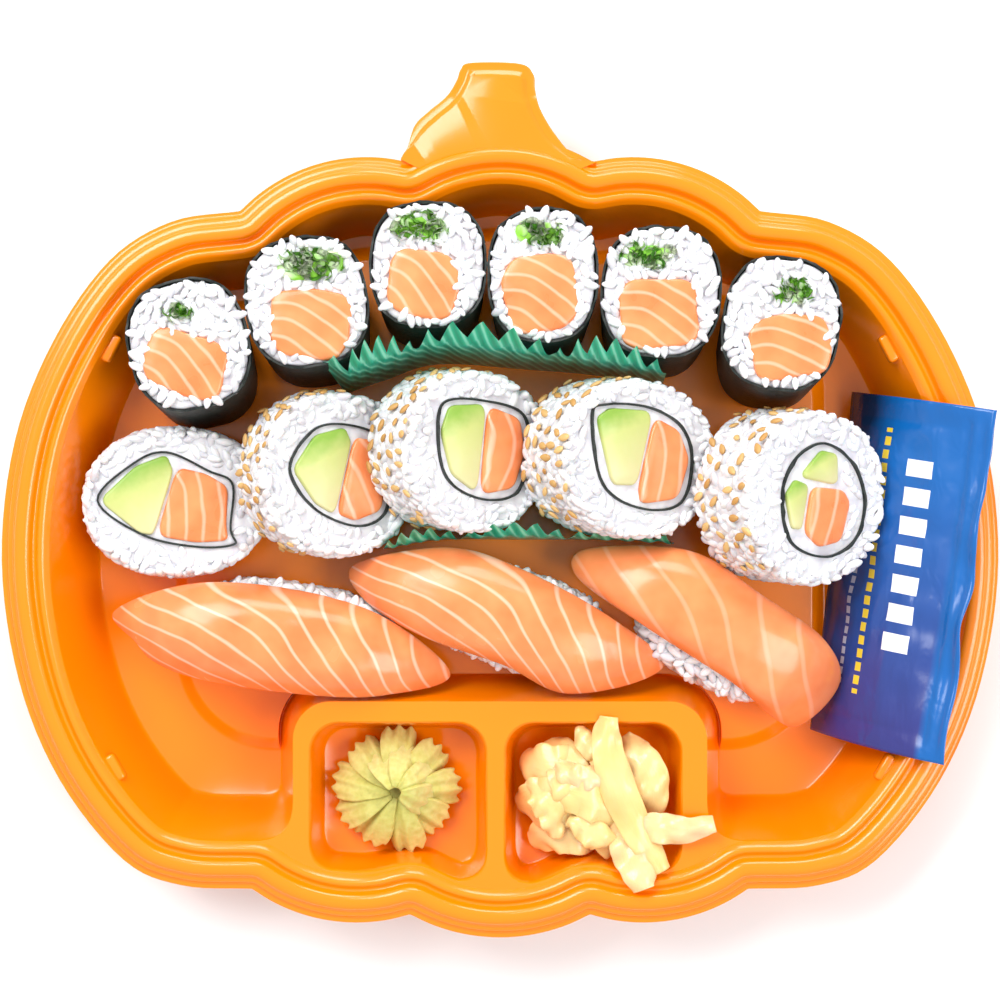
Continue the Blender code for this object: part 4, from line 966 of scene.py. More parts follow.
def prism(bm, outline, low, high, soften, dome=0.0):
    """A closed prism with softened top and bottom edges and a slightly domed top."""
    middle = outline.mean(axis=0)
    rows = ((soften, low), (soften * 0.3, low + soften * 0.3), (0, low + soften), (0, high - soften),
            (soften * 0.3, high - soften * 0.3), (soften, high))
    rings = [ring(bm, inset_outline(outline, inset), height) for inset, height in rows]
    for share in (0.75, 0.45, 0.2) if dome else ():
        top = middle + (inset_outline(outline, soften) - middle) * share
        rings.append(ring(bm, top, high + dome * (1 - share)))
    skin(bm, rings)
    cap(bm, rings[0])
    cap(bm, rings[-1])
    return bm


def map_fibres(mesh, direction, origin=(0, 0, 0), bow=0.0):
    """Stores (along, side) distances in millimetres as the map that fat lines and the film's painted crease
    shade and ridge highlights follow.
    """
    layer = mesh.uv_layers.new(name="fibre")
    u = Vector(direction).normalized()
    v = Vector((-u.y, u.x, 0)).normalized()
    origin = Vector(origin)
    for loop in mesh.loops:
        offset = (mesh.vertices[loop.vertex_index].co - origin) / MM
        side = offset.dot(v)
        layer.data[loop.index].uv = (offset.dot(u) + bow * side * side + 0.35 * offset.z, side)


def ring_band(bm, outer, rows, thickness, wobble=0.0, seed=0):
    """An upright strip round a closed outline, with an uneven top edge and an inner side."""
    inner = inset_outline(outer, thickness)

    def row(outline, height, share):
        return [(x, y, height + wobble * share * noise.noise(Vector((x, y, seed * 7.0 * MM)) / (2.5 * MM)))
                for x, y in outline]

    bottom, top = rows[0], rows[-1]
    shares = [(h - bottom) / (top - bottom) for h in rows]
    loops = [ring(bm, row(outer, h, s)) for h, s in zip(rows, shares)]
    loops += [ring(bm, row(inner, h, s)) for h, s in zip(reversed(rows), reversed(shares))]
    skin(bm, loops + loops[:1])


# ---------------------------------------------------------------- thin rolls

def lean_hosomaki(bm, centre):
    for vert in bm.verts:
        below_top = 1 - vert.co.z / HOSOMAKI_TALL
        size = 1 - HOSOMAKI_TAPER * below_top
        vert.co.x = centre[0] + vert.co.x * size
        vert.co.y = centre[1] + vert.co.y * size - HOSOMAKI_LEAN * below_top
        vert.co.z += FLOOR_REST


def make_hosomaki(number, finishes, rng, grains, rings_list):
    x, y, half_width, half_depth, turn, salmon, onion = HOSOMAKI[number - 1]
    name = f"hosomaki_{number}"
    centre = np.array((x, y)) * MM
    outer = superellipse(half_width * MM, half_depth * MM, 72, 2.5, turn)
    tall = HOSOMAKI_TALL

    bm = bmesh.new()
    rows = [0.2 * MM + tall * share for share in (0, 0.25, 0.5, 0.75, 0.92, 0.965)]
    ring_band(bm, outer, rows, NORI, 1.3 * MM, number)
    for vert in bm.verts:
        crease = noise.noise(vert.co / (6 * MM) + Vector((number * 5.0, 0, 0)))
        away = Vector((vert.co.x, vert.co.y, 0)).normalized()
        vert.co -= away * 0.5 * MM * max(crease, 0)
    lean_hosomaki(bm, centre)
    tidy(bm)
    add_piece(f"{name}_nori_sheet", bm, finishes["nori"], [f"{name}_nori"], sharp=60)

    bm = bmesh.new()
    prism(bm, inset_outline(outer, NORI + 0.3 * MM), 0, tall - 1.2 * MM, 0.8 * MM)
    lean_hosomaki(bm, centre)
    tidy(bm)
    add_piece(f"{name}_rice_core", bm, finishes["core"], [f"{name}_rice"])

    right, back, wide, deep, angle = salmon
    shape = superellipse(wide * MM, deep * MM, 48, 3.4, angle)
    shape = np.array([p * (1 + 0.10 * noise.noise(Vector((p[0], p[1],
        number * 9 * MM)) / (6 * MM))) for p in shape])
    shape = shape + np.array((right, back)) * MM
    salmon_outline = shape
    bm = bmesh.new()
    prism(bm, shape, 0, tall + 0.2 * MM, 0.7 * MM, 0.3 * MM)
    lean_hosomaki(bm, centre)
    tidy(bm)
    obj = add_piece(f"{name}_salmon_strip", bm, finishes["salmon_cut"], [f"{name}_salmon"])
    angle = math.radians(rng.uniform(-50, 50) + 90)
    map_fibres(obj.data, (math.cos(angle), math.sin(angle), 0), (*centre, 0), 0.02)

    right, back, wide, deep, angle = onion
    onion_outline = superellipse(wide * MM, deep * MM, 32, 2.7, angle) + np.array((right, back)) * MM
    bm = bmesh.new()
    prism(bm, inset_outline(onion_outline, 0.3 * MM), 0, tall - 0.5 * MM, 0.6 * MM)
    lean_hosomaki(bm, centre)
    layer = bm.verts.layers.float.new("tint")
    for vert in bm.verts:
        vert[layer] = 0.5 + 0.5 * noise.noise(vert.co / (2.2 * MM))
    tidy(bm)
    add_piece(f"{name}_onion_core", bm, finishes["onion"], [f"{name}_onion"])
    for _ in range(int(8 + wide * deep * 1.1)):
        a, r = rng.uniform(0, math.tau), math.sqrt(rng.uniform(0, 1))
        spot = np.array((right + wide * r * math.cos(a) * 0.9, back + deep * r * math.sin(a) * 0.85)) * MM
        height = FLOOR_REST + tall + rng.uniform(-0.7, 0.9) * MM
        place = Matrix.Translation((*(centre + spot), height)) @ Matrix.Rotation(rng.uniform(0, math.tau),
            4, "Z")
        place = place @ Matrix.Rotation(rng.uniform(0.5, 1.5), 4,
            "X") @ Matrix.Rotation(rng.uniform(-0.3, 0.3), 4, "Y")
        rings_list.append((place @ Matrix.Scale(rng.uniform(0.8, 1.35), 4), rng.uniform(0, 1)))

    candidates = np.stack([rng.uniform(-half_width, half_width, 1500),
        rng.uniform(-half_depth, half_depth, 1500)],
                          axis=1) * MM
    keep = inside(inset_outline(outer, NORI + 0.9 * MM), candidates)
    keep &= ~inside(inset_outline(salmon_outline, 0.2 * MM), candidates)
    keep &= ~inside(inset_outline(onion_outline, 0.6 * MM), candidates)
    candidates = [tuple(p) + (0.0,) for p in candidates[keep]]
    for at in spread(candidates, 1.75 * MM, 400):
        px, py, _ = candidates[at]
        point = (centre[0] + px, centre[1] + py, FLOOR_REST + tall - rng.uniform(0.5, 1.3) * MM)
        place = facing(point, (0, 0, 1), rng.uniform(0, math.tau), rng.uniform(-0.7, 0.7),
            rng.uniform(0.72, 1.0))
        grains.append((place, rng.uniform(0, 1)))


def onion_shape():
    """A short curl of cut spring onion: a bent strip with thickness."""
    bm = bmesh.new()
    bmesh.ops.create_grid(bm, x_segments=8, y_segments=1, size=1)
    for vert in bm.verts:
        x, y, _ = vert.co
        vert.co = (1.5 * MM * math.sin(1.9 * x), 1.2 * MM * (1 - math.cos(1.9 * x)) - 0.8 * MM, y * 0.6 * MM)
    bmesh.ops.solidify(bm, geom=bm.faces[:], thickness=0.45 * MM)
    tidy(bm)
    bm.verts.index_update()
    return bm


# ---------------------------------------------------------------- thick rolls

def uramaki_place(number):
    foot_x, mid_y, along, across, length, lean, turn = URAMAKI[number - 1]
    half = np.array((along, across)) * MM / 2
    tilt = math.radians(lean)
    start = Vector((foot_x * MM - half[0] * math.cos(tilt), mid_y * MM,
        FLOOR_REST + half[0] * math.sin(tilt)))
    place = (Matrix.Translation(start) @ Matrix.Rotation(math.radians(turn), 4, "Z")
             @ Matrix.Rotation(tilt, 4, "Y"))
    return half, length * MM, place


def make_uramaki(number, finishes, rng, grains, seeds):
    half, length, place = uramaki_place(number)
    name = f"uramaki_{number}"
    outer = superellipse(half[0], half[1], 72, 2.15)
    nori_outline = smooth_outline(NORI_LOOPS[number - 1], 64) * half

    bm = bmesh.new()
    body = inset_outline(outer, 0.75 * MM)
    prism(bm, body, 0.8 * MM, length - 0.9 * MM, 2.2 * MM)
    bmesh.ops.transform(bm, matrix=place, verts=bm.verts[:])
    tidy(bm)
    rice_nodes = [f"{name}_rice"] + ([f"{name}_core_rice"] if number == len(URAMAKI) else [])
    add_piece(f"{name}_rice_core", bm, finishes["core"], rice_nodes)

    bm = bmesh.new()
    ring_band(bm, nori_outline, [0, length * 0.5, length - 0.1 * MM], NORI, 0.6 * MM, number)
    bmesh.ops.transform(bm, matrix=place, verts=bm.verts[:])
    tidy(bm)
    add_piece(f"{name}_nori_sheet", bm, finishes["nori"], [f"{name}_nori"], sharp=60)

    salmon_outline = inset_outline(rounded_polygon(np.array(SALMONS[number - 1]) * half, 7, 0.22),
        -FILLING_SWELL)
    bm = bmesh.new()
    prism(bm, salmon_outline, 0, length + 0.2 * MM, 0.7 * MM, 0.3 * MM)
    bmesh.ops.transform(bm, matrix=place, verts=bm.verts[:])
    tidy(bm)
    obj = add_piece(f"{name}_salmon_strip", bm, finishes["salmon_cut"], [f"{name}_salmon"])
    angle = math.radians(rng.uniform(-40, 40))
    map_fibres(obj.data, (math.cos(angle), math.sin(angle), 0), place.translation, 0.02)

    for at, corners in enumerate(AVOCADOS[number - 1]):
        outline = inset_outline(rounded_polygon(np.array(corners) * half, 7, 0.18), -FILLING_SWELL)
        bm = bmesh.new()
        prism(bm, outline, 0, length + 0.05 * MM, 0.6 * MM)
        skin_side = [(-(vert.co.x / half[0]) * 0.5 + (vert.co.y / half[1]) * 0.85) for vert in bm.verts]
        low, high = min(skin_side), max(skin_side)
        bmesh.ops.transform(bm, matrix=place, verts=bm.verts[:])
        layer = bm.verts.layers.float.new("skin")
        for vert, value in zip(bm.verts, skin_side):
            vert[layer] = (value - low) / (high - low)
        tidy(bm)
        layer_name = "avocado" if at == 0 else f"avocado_{at + 1}"
        add_piece(f"{name}_{layer_name}_slice", bm, finishes["avocado"], [f"{name}_{layer_name}"])

    turn_only = place.to_3x3()
    spots, ways = [], []
    for _ in range(5200):
        a, z = rng.uniform(0, math.tau), rng.uniform(0.02, 0.98) * length
        c, s = math.cos(a), math.sin(a)
        x = half[0] * math.copysign(abs(c) ** (2 / 2.15), c)
        y = half[1] * math.copysign(abs(s) ** (2 / 2.15), s)
        to_face = min(z, length - z)
        round_in = 2.2 * MM * (1 - math.sqrt(1 - (1 - min(to_face / (2.2 * MM), 1)) ** 2))
        away = Vector((x / half[0] ** 2, y / half[1] ** 2, 0)).normalized()
        spots.append(tuple(Vector((x, y, z)) - away * (round_in + 1.15 * MM)))
        ways.append(away)
    hidden_below = FLOOR_REST + 1.5 * MM
    for at in spread(spots, 1.95 * MM, 1400):
        world = place @ Vector(spots[at])
        if world.z < hidden_below:
            continue
        normal = turn_only @ ways[at]
        world.z = min(world.z, GRAIN_TOP)
        matrix = facing(world, normal, rng.uniform(0, math.tau), rng.uniform(-0.35, 0.35),
            rng.uniform(0.8, 1.05))
        grains.append((matrix, rng.uniform(0, 1)))

    face = np.stack([rng.uniform(-half[0], half[0], 3500), rng.uniform(-half[1], half[1], 3500)], axis=1)
    keep = inside(inset_outline(outer, 1.6 * MM), face) & ~inside(inset_outline(nori_outline, -1.7 * MM),
        face)
    if number == len(URAMAKI):
        core = smooth_outline(CORE_RICE, 40) * half
        keep |= inside(core, face)
    face = [tuple(p) + (0.0,) for p in face[keep]]
    for at in spread(face, 1.8 * MM, 500):
        fx, fy, _ = face[at]
        edge_share = math.hypot(fx / half[0], fy / half[1])
        sink = 1.15 * MM + 1.6 * MM * max(edge_share - 0.85, 0) / 0.15
        world = place @ Vector((fx, fy, length - sink + rng.uniform(-0.3, 0.35) * MM))
        world.z = min(world.z, GRAIN_TOP)
        matrix = facing(world, turn_only @ Vector((0, 0, 1)), rng.uniform(0, math.tau),
            rng.uniform(-0.6, 0.6),
                        rng.uniform(0.75, 1.0))
        grains.append((matrix, rng.uniform(0, 1)))

    if number == 1:
        return
    seed_spots = []
    for _ in range(900):
        a, z = rng.uniform(0, math.tau), rng.uniform(0.06, 0.96) * length
        if math.cos(a - math.pi * 0.93) < rng.uniform(0.0, 1.0):
            continue
        c, s = math.cos(a), math.sin(a)
        x = half[0] * math.copysign(abs(c) ** (2 / 2.15), c)
        y = half[1] * math.copysign(abs(s) ** (2 / 2.15), s)
        away = Vector((x / half[0] ** 2, y / half[1] ** 2, 0)).normalized()
        seed_spots.append((tuple(Vector((x, y, z)) + away * 0.1 * MM), away))
    for at in spread([spot for spot, _ in seed_spots], 3.1 * MM, 46):
        spot, away = seed_spots[at]
        world = place @ Vector(spot)
        if world.z < 12 * MM:
            continue
        matrix = facing(world, turn_only @ away, rng.uniform(0, math.tau), rng.uniform(-0.35, 0.35),
                        rng.uniform(0.85, 1.15))
        seeds.append((matrix, rng.uniform(0, 1)))


# ---------------------------------------------------------------- nigiri

def outline_at(outline, angle, centre):
    """The distance from a centre to an outline in a direction."""
    offsets = outline - centre
    angles = np.arctan2(offsets[:, 1], offsets[:, 0])
    radii = np.hypot(offsets[:, 0], offsets[:, 1])
    order = np.argsort(angles)
    return float(np.interp(angle, angles[order], radii[order], period=math.tau))


def make_nigiri(number, finishes, rng, grains):
    turn, slice_edge, rice_x, rice_y, rice_long, rice_wide, rice_turn = NIGIRI[number - 1]
    name = f"nigiri_{number}"
    centre = np.array((rice_x, rice_y)) * MM
    tall = NIGIRI_RICE_TALL

    rows = ((0.80, 0.0), (0.93, 0.05), (0.985, 0.16), (1.0, 0.32), (0.99, 0.55), (0.96, 0.70), (0.88, 0.83),
            (0.74, 0.92), (0.5, 0.98), (0.25, 1.0))
    bm = bmesh.new()
    rings = []
    for share, height in rows:
        outline = superellipse((rice_long * share - 1.1) * MM, (rice_wide * share - 1.1) * MM, 64, 2.8,
            rice_turn)
        rings.append(ring(bm, outline + centre, FLOOR_REST + 0.6 * MM + height * (tall - 1.6 * MM)))
    skin(bm, rings)
    cap(bm, rings[0])
    cap(bm, rings[-1])
    tidy(bm)
    add_piece(f"{name}_rice_core", bm, finishes["core"], [f"{name}_rice"])

    spots, ways = [], []
    for _ in range(9000):
        a, t = rng.uniform(0, math.tau), rng.uniform(0, len(rows) - 1.001)
        at, part = int(t), t - int(t)
        share = rows[at][0] + (rows[at + 1][0] - rows[at][0]) * part
        height = rows[at][1] + (rows[at + 1][1] - rows[at][1]) * part
        c, s = math.cos(a), math.sin(a)
        x = rice_long * MM * share * math.copysign(abs(c) ** (2 / 2.8), c)
        y = rice_wide * MM * share * math.copysign(abs(s) ** (2 / 2.8), s)
        rise = (height - 0.35) * 2.2
        away = Vector((c * 0.9, s, 0)).normalized() * math.sqrt(max(1 - min(abs(rise), 1) ** 2, 0.02))
        away.z = max(-1, min(1, rise)) * (1 if rise > 0 else 0.4)
        away.normalize()
        flat = turned(np.array(((x, y),)), rice_turn)[0]
        way = turned(np.array(((away.x, away.y),)), rice_turn)[0]
        spot = Vector((*(flat + centre), FLOOR_REST + height * tall))
        away = Vector((way[0], way[1], away.z))
        spots.append(tuple(spot - away * 1.0 * MM))
        ways.append(away)
    for at in spread(spots, 1.95 * MM, 1500):
        if spots[at][2] < FLOOR_REST + 1.2 * MM:
            continue
        matrix = facing(spots[at], ways[at], rng.uniform(0, math.tau), rng.uniform(-0.45, 0.45),
                        rng.uniform(0.85, 1.12))
        grains.append((matrix, rng.uniform(0, 1)))

    edge = turned(smooth_outline(slice_edge, 96) * MM, -turn)
    middle = (edge.max(axis=0) + edge.min(axis=0)) / 2
    half = (edge.max(axis=0) - edge.min(axis=0)) / 2
    top = FLOOR_REST + tall + SLICE_LIFT + SLICE_THICK
    bm = bmesh.new()
    bmesh.ops.create_uvsphere(bm, u_segments=120, v_segments=56, radius=1)
    for vert in bm.verts:
        share = min(math.hypot(vert.co.x, vert.co.y), 1.0)
        angle = math.atan2(vert.co.y * half[1], vert.co.x * half[0])
        flat = middle + outline_at(edge, angle, middle) * share * np.array((math.cos(angle), math.sin(angle)))
        along, side = np.abs((flat - middle) / half)
        droop = 13.5 * MM * along**3.2 + 5.2 * MM * side**2.4
        round_off = (1 - share**7) ** 0.5 if share < 1 else 0.0
        middle_depth = droop + 2.4 * MM * share**6
        height = top - middle_depth - (0 if vert.co.z >= 0 else SLICE_THICK * (1 - share**5))
        way = 1 if vert.co.z >= 0 else -1
        height += (0.5 * MM + 0.5 * MM * round_off) * way * (round_off > 0) * round_off
        height -= 0.6 * MM
        place = turned(np.array((flat,)), turn)[0]
        ripple = noise.noise(Vector((flat[0], flat[1], number * 30 * MM)) / (14 * MM))
        vert.co = (place[0], place[1], height + 0.5 * MM * ripple * (1 - share**4))
    tidy(bm)
    finish = finishes["salmon_plain"] if number == 3 else finishes["salmon_lined"]
    obj = add_piece(f"{name}_salmon_slice", bm, finish, [f"{name}_salmon"])
    along = math.radians(turn + (58, 62, 50)[number - 1])
    centre_now = turned(np.array((middle,)), turn)[0]
    map_fibres(obj.data, (math.cos(along), math.sin(along), 0), (*centre_now, top),
        (0.012, 0.014, 0.01)[number - 1])


# ---------------------------------------------------------------- dividers

def make_divider(name, sizes, finish):
    foot, tips, tip_height, teeth = sizes
    foot = [np.array(point) * MM for point in foot]
    tips = [np.array(point) * MM for point in tips]
    base = FLOOR_REST
    flare_by, flare_from = FILM_FLARES[name == "divider_front"]
    columns, rows = teeth * 12, 10
    bm = bmesh.new()
    bmesh.ops.create_grid(bm, x_segments=columns, y_segments=rows, size=1)
    full = tip_height * MM - base
    for vert in bm.verts:
        share, up = (vert.co.x + 1) / 2, (vert.co.y + 1) / 2
        below, above = spline(foot, share), spline(tips, share)
        group = abs(math.sin(math.pi * 3 * share))
        tooth = abs(((share * teeth) % 1) * 2 - 1)
        height = full - (6.0 * (1 - group) + 5.2 * tooth**0.9) * MM
        rise = height * up / full
        spot = below + (above - below) * rise
        along = spline(foot, min(share + 0.01, 1)) - spline(foot, max(share - 0.01, 0))
        off = np.array((-along[1], along[0])) / np.linalg.norm(along)
        fold = 0.35 * MM * math.sin(share * teeth * math.tau) * up
        first = max(1 - share * teeth, 0) * up * (name == "divider_back")
        flare = flare_by * smooth_step((base + height * up - flare_from) / (10 * MM))
        flare += 1.2 * FIRST_TOOTH[1] * first
        spot = spot + off * fold + np.array((FIRST_TOOTH[0] * first, flare))
        vert.co = (spot[0], spot[1], base + height * up + FIRST_TOOTH[1] * first)
    bmesh.ops.solidify(bm, geom=bm.faces[:], thickness=0.25 * MM)
    tidy(bm)
    obj = add_piece(name + "_film", bm, finish, [name], sharp=50)
    map_fibres(obj.data, (1, 0, 0))
    return obj


# ---------------------------------------------------------------- wasabi

def make_wasabi(finish):
    """Piped paste: ruffled fan-shaped petals in two rounds about a small centre."""
    bm = bmesh.new()
    tint = bm.verts.layers.float.new("tint")
    rounds = ((0.0, ((88, 16.0), (132, 15.5), (171, 16.6), (204, 16.4), (240, 15.8), (283, 16.6), (322, 15.2),
                     (2, 16.4), (44, 15.6)), 9.6),
                     (3.2, ((70, 11.5), (25, 11.0), (340, 10.5), (110, 10.8)), 11.6))
    for lift, petals, tall in rounds:
        for angle, reach in petals:
            made = bmesh.ops.create_grid(bm, x_segments=22, y_segments=20, size=1)["verts"]
            for vert in made:
                along, side = (vert.co.x + 1) / 2, vert.co.y
                scallop = 1 + 0.05 * math.cos(side * math.pi * 3.0 + angle) - 0.08 * side * side
                radius = (1.2 + (reach - 1.2) * along * scallop) * MM
                half_width = (1.1 + 5.0 * along**0.9 * (1 - 0.30 * along**4)) * MM
                ruffle = (0.55 * math.sin(side * math.pi * 2.2 + angle) - 1.5 * side * side) * along * MM
                height = (tall - 5.8 * along**1.7 + 1.8 * math.sin(along * math.pi) + lift * (1 - along)) * MM
                a = math.radians(angle)
                shift = side * half_width
                x = radius * math.cos(a) - shift * math.sin(a)
                y = radius * math.sin(a) + shift * math.cos(a)
                vert.co = (WASABI_CENTRE[0] + x, WASABI_CENTRE[1] + y,
                           PIT_REST + height + ruffle + 2.1 * MM * side * (0.3 + 0.7 * along))
                # Painted light in the tint: darker near the centre, lighter towards the tips, and lighter
                # again on the upper round.
                vert[tint] = 0.25 + 0.35 * along + (0.12 if lift else 0.0)
    bmesh.ops.solidify(bm, geom=bm.faces[:], thickness=1.5 * MM)
    for vert in bm.verts:
        grainy = noise.noise(vert.co / (1.5 * MM))
        vert.co += Vector((grainy, noise.noise(vert.co / (1.9 * MM) + Vector((9, 0, 0))), grainy)) * 0.18 * MM
    made = bmesh.ops.create_uvsphere(bm, u_segments=32, v_segments=16, radius=1)["verts"]
    for vert in made:
        # The centre ball takes the deepest painted shade.
        vert[tint] = 0.1
        x, y, z = vert.co
        vert.co = (WASABI_CENTRE[0] + x * 9.5 * MM, WASABI_CENTRE[1] + y * 9.5 * MM,
                   PIT_REST + 5.0 * MM + z * 4.9 * MM)
    tidy(bm)
    return add_piece("wasabi_rosette", bm, finish, ["wasabi"], levels=1)


# ---------------------------------------------------------------- ginger

# Slices: points along each one's middle, its width, how strongly it ruffles and its pink.
GINGER_SLICES = (
    (((5.5, -66, 14), (9, -67, 21), (15, -68, 24), (22, -67, 20), (27, -66, 14)), 11, 0.6, 0.05),
    (((4.8, -78, 14), (8, -77, 22), (14, -76, 25.5), (21, -76, 22), (25, -78, 15)), 12, 0.8, 0.0),
    (((8, -88, 14), (12, -85, 20), (18, -84, 22), (25, -85, 18), (29, -87, 13)), 10, 0.7, 0.1),
    (((13, -61, 16), (16, -65, 23), (18, -71, 27), (20, -77, 26), (22, -84, 20)), 10, 0.9, 0.0),
    (((27.4, -54.2, 27.0), (26.6, -59, 27.6), (27.6, -66, 28.4), (30, -73, 29.0), (33, -80, 28.6),
      (37, -87, 28.0), (40.5, -93.0, 28.2)), 8, 1.1, 0.0),
    (((31, -60, 19), (34, -64, 23), (37, -69, 25), (38, -75, 24), (37, -81, 19)), 9, 1.0, 0.05),
    (((30, -81.5, 25.6), (35, -81.6, 27.6), (41, -82.2, 28.6), (47, -82.4, 29.2), (53.6, -80.8, 29.8)), 6.5,
    1.0, 0.5),
    (((29.5, -80, 24.8), (32, -85, 26.4), (34, -90.5, 28.6), (36, -97.2, 29.6)), 9.5, 0.8, 0.42),
    (((11, -71, 22), (16, -73, 26.5), (22, -75, 28.6), (27, -79, 26), (29, -85, 21)), 9, 1.0, 0.0),
    (((20.5, -57.2, 22), (21.5, -61, 25), (24.5, -64, 26.5), (25, -69, 26)), 5, 0.8, 0.1),
    (((6.5, -72, 20), (10, -74, 25), (13, -79, 26.5), (14, -85, 23)), 7, 1.1, 0.1),
    (((14, -66, 25), (18, -69, 28), (22, -70, 28.5), (27, -72, 27)), 6, 1.0, 0.45),
    (((17, -80, 26), (21, -82, 28), (26, -86, 27), (28, -90, 22)), 7, 0.9, 0.0),
)


def make_ginger(finish):
    """Thin folded slices lying over one another in the right well."""
    bm = bmesh.new()
    tint = bm.verts.layers.float.new("tint")
    fibre = bm.loops.layers.uv.new("fibre")
    maps = {}
    for number, (path, width, ruffle, pink) in enumerate(GINGER_SLICES):
        knots = [np.array(point, float) * MM for point in path]
        made = bmesh.ops.create_grid(bm, x_segments=40, y_segments=14, size=1)["verts"]
        for vert in made:
            share, side = (vert.co.x + 1) / 2, vert.co.y
            here = spline(knots, share)
            along = spline(knots, min(share + 0.01, 1)) - spline(knots, max(share - 0.01, 0))
            across = np.cross(along, (0, 0, 1))
            across /= np.linalg.norm(across)
            lift = np.cross(across, along)
            lift /= np.linalg.norm(lift)
            taper = (math.sin(math.pi * min(max(share, 0.04), 0.96)) ** 0.35)
            edge = 1.12 + 0.13 * noise.noise(Vector((share * 9, number * 3.7, side * 2)))
            wave = math.sin(share * 13 + number * 2.1 + side * 1.7)
            wave += 0.6 * math.sin(share * 23 + number - side * 2.4)
            curl = side * side * (1.3 + 0.25 * math.sin(share * 26 + number)) * MM
            spot = here + across * side * width / 2 * MM * taper * edge + lift * (
                ruffle * wave * (0.15 + 0.75 * abs(side)) * MM - curl)
            maps[vert] = (share * 30, side * width / 2)
            vert[tint] = pink * (0.6 + 0.5 * noise.noise(Vector((share * 3, side, number))))
            vert.co = spot
    for face in bm.faces:
        for loop in face.loops:
            loop[fibre].uv = maps[loop.vert]
    bmesh.ops.solidify(bm, geom=bm.faces[:], thickness=0.55 * MM)
    low = PIT_REST
    for vert in bm.verts:
        vert.co.z = max(vert.co.z, low + 0.1 * MM)
    tidy(bm)
    return add_piece("ginger_slices", bm, finish, ["ginger"], levels=1)


# ---------------------------------------------------------------- sachet

def sachet_point(u, v, side):
    top_left, top_right, low_right, low_left = SACHET_CORNERS
    normal = np.cross(low_left - top_left, top_right - top_left)
    normal /= np.linalg.norm(normal)
    left, right = top_left + v * (low_left - top_left), top_right + v * (low_right - top_right)
    inner_u = min(max((u - 0.06) / 0.76, 0), 1)
    inner_v = min(max((v - 0.07) / 0.86, 0), 1)
    swell = (math.sin(math.pi * inner_u) * math.sin(math.pi * inner_v)) ** 0.6
    share = 0.6 if side > 0 else 0.4
    bow = SACHET_BOW * math.sin(math.pi * u) * (1 - 0.8 * math.sin(math.pi * v))
    where = Vector((u * 31, v * 88, 0))
    crinkle = noise.noise(where / 7) * 0.5 + noise.noise(Vector((u * 31, v * 30, 5)) / 3.2) * 0.28
    seal = 1 - smooth_step(min(u / 0.08, (1 - u) / 0.18, v / 0.09, (1 - v) / 0.09))
    ridges = 0.38 * math.cos((u - 0.9) * 31 * 2.4) * (u > 0.84)
    ridges *= smooth_step(v / 0.06) * smooth_step((1 - v) / 0.06)
    wave = seal * 0.8 * math.sin(v * 21 + 1) * (0.4 + u)
    thick = 0.12 * MM + share * SACHET_THICK * swell
    lift = bow + side * thick + (crinkle * (0.5 + 0.5 * swell) * 1.5 + ridges * 0.8 + wave * 0.7) * MM
    ragged = 0.9 * MM * noise.noise(Vector((v * 9, 3, 0)))
    along = (right - left) / np.linalg.norm(right - left)
    point = left + u * (right - left) + lift * normal + along * ragged * (u > 0.98)
    point[2] = min(point[2], CAD_BOX[1][2] - 0.3 * MM * smooth_step(abs(v - 0.5)))
    return point


def make_sachet(finish):
    bm = bmesh.new()
    printed = bm.loops.layers.uv.new("print")
    maps = {}
    for side in (1, -1):
        made = bmesh.ops.create_grid(bm, x_segments=48, y_segments=120, size=1)["verts"]
        for vert in made:
            u, v = (vert.co.x + 1) / 2, (1 - vert.co.y) / 2
            maps[vert] = (u, v)
            vert.co = sachet_point(u, v, side)
    for face in bm.faces:
        for loop in face.loops:
            loop[printed].uv = maps[loop.vert]
    open_edges = [edge for edge in bm.edges if edge.is_boundary]
    bmesh.ops.bridge_loops(bm, edges=open_edges)
    tidy(bm)
    return add_piece("sachet_film", bm, finish, ["sachet"])


# ---------------------------------------------------------------- stage

def make_stage(finish, sizes):
    bm = bmesh.new()
    bmesh.ops.create_grid(bm, x_segments=1, y_segments=1, size=2.0)
    mesh = bpy.data.meshes.new("floor")
    bm.to_mesh(mesh)
    bm.free()
    mesh.materials.append(finish)
    floor = bpy.data.objects.new("floor", mesh)
    bpy.context.scene.collection.objects.link(floor)

    world = bpy.data.worlds.new("studio")
    world.use_nodes = True
    background = world.node_tree.nodes["Background"]
    background.inputs["Color"].default_value = (1, 1, 1, 1)
    background.inputs["Strength"].default_value = sizes.world_strength
    bpy.context.scene.world = world
    lamps = (("key", (-0.55, 0.65, 1.05), 0.7, sizes.key_power),
        ("fill", (0.75, -0.25, 0.95), 0.6, sizes.fill_power),
             ("back", (0.1, 1.1, 0.55), 0.5, sizes.back_power))
    for name, spot, size, power in lamps:
        lamp = bpy.data.lights.new(name, "AREA")
        lamp.shape = "SQUARE"
        lamp.size = size
        lamp.energy = power
        holder = bpy.data.objects.new(name, lamp)
        holder.matrix_world = Matrix.Translation(spot) @ (-Vector(spot)).to_track_quat("-Z",
            "Y").to_matrix().to_4x4()
        bpy.context.scene.collection.objects.link(holder)

    bpy.context.scene.view_settings.view_transform = "Standard"
    camera = bpy.data.cameras.new("camera")
    camera.lens = 86.4
    camera.sensor_width = 36.0
    holder = bpy.data.objects.new("camera", camera)
    holder.location = (0, 0, sizes.camera_height)
    bpy.context.scene.collection.objects.link(holder)
    bpy.context.scene.camera = holder


# ---------------------------------------------------------------- settings

def hex_setting(name, default, description):
    return bpy.props.StringProperty(name=name, default=default, description=description + ", sRGB hex")


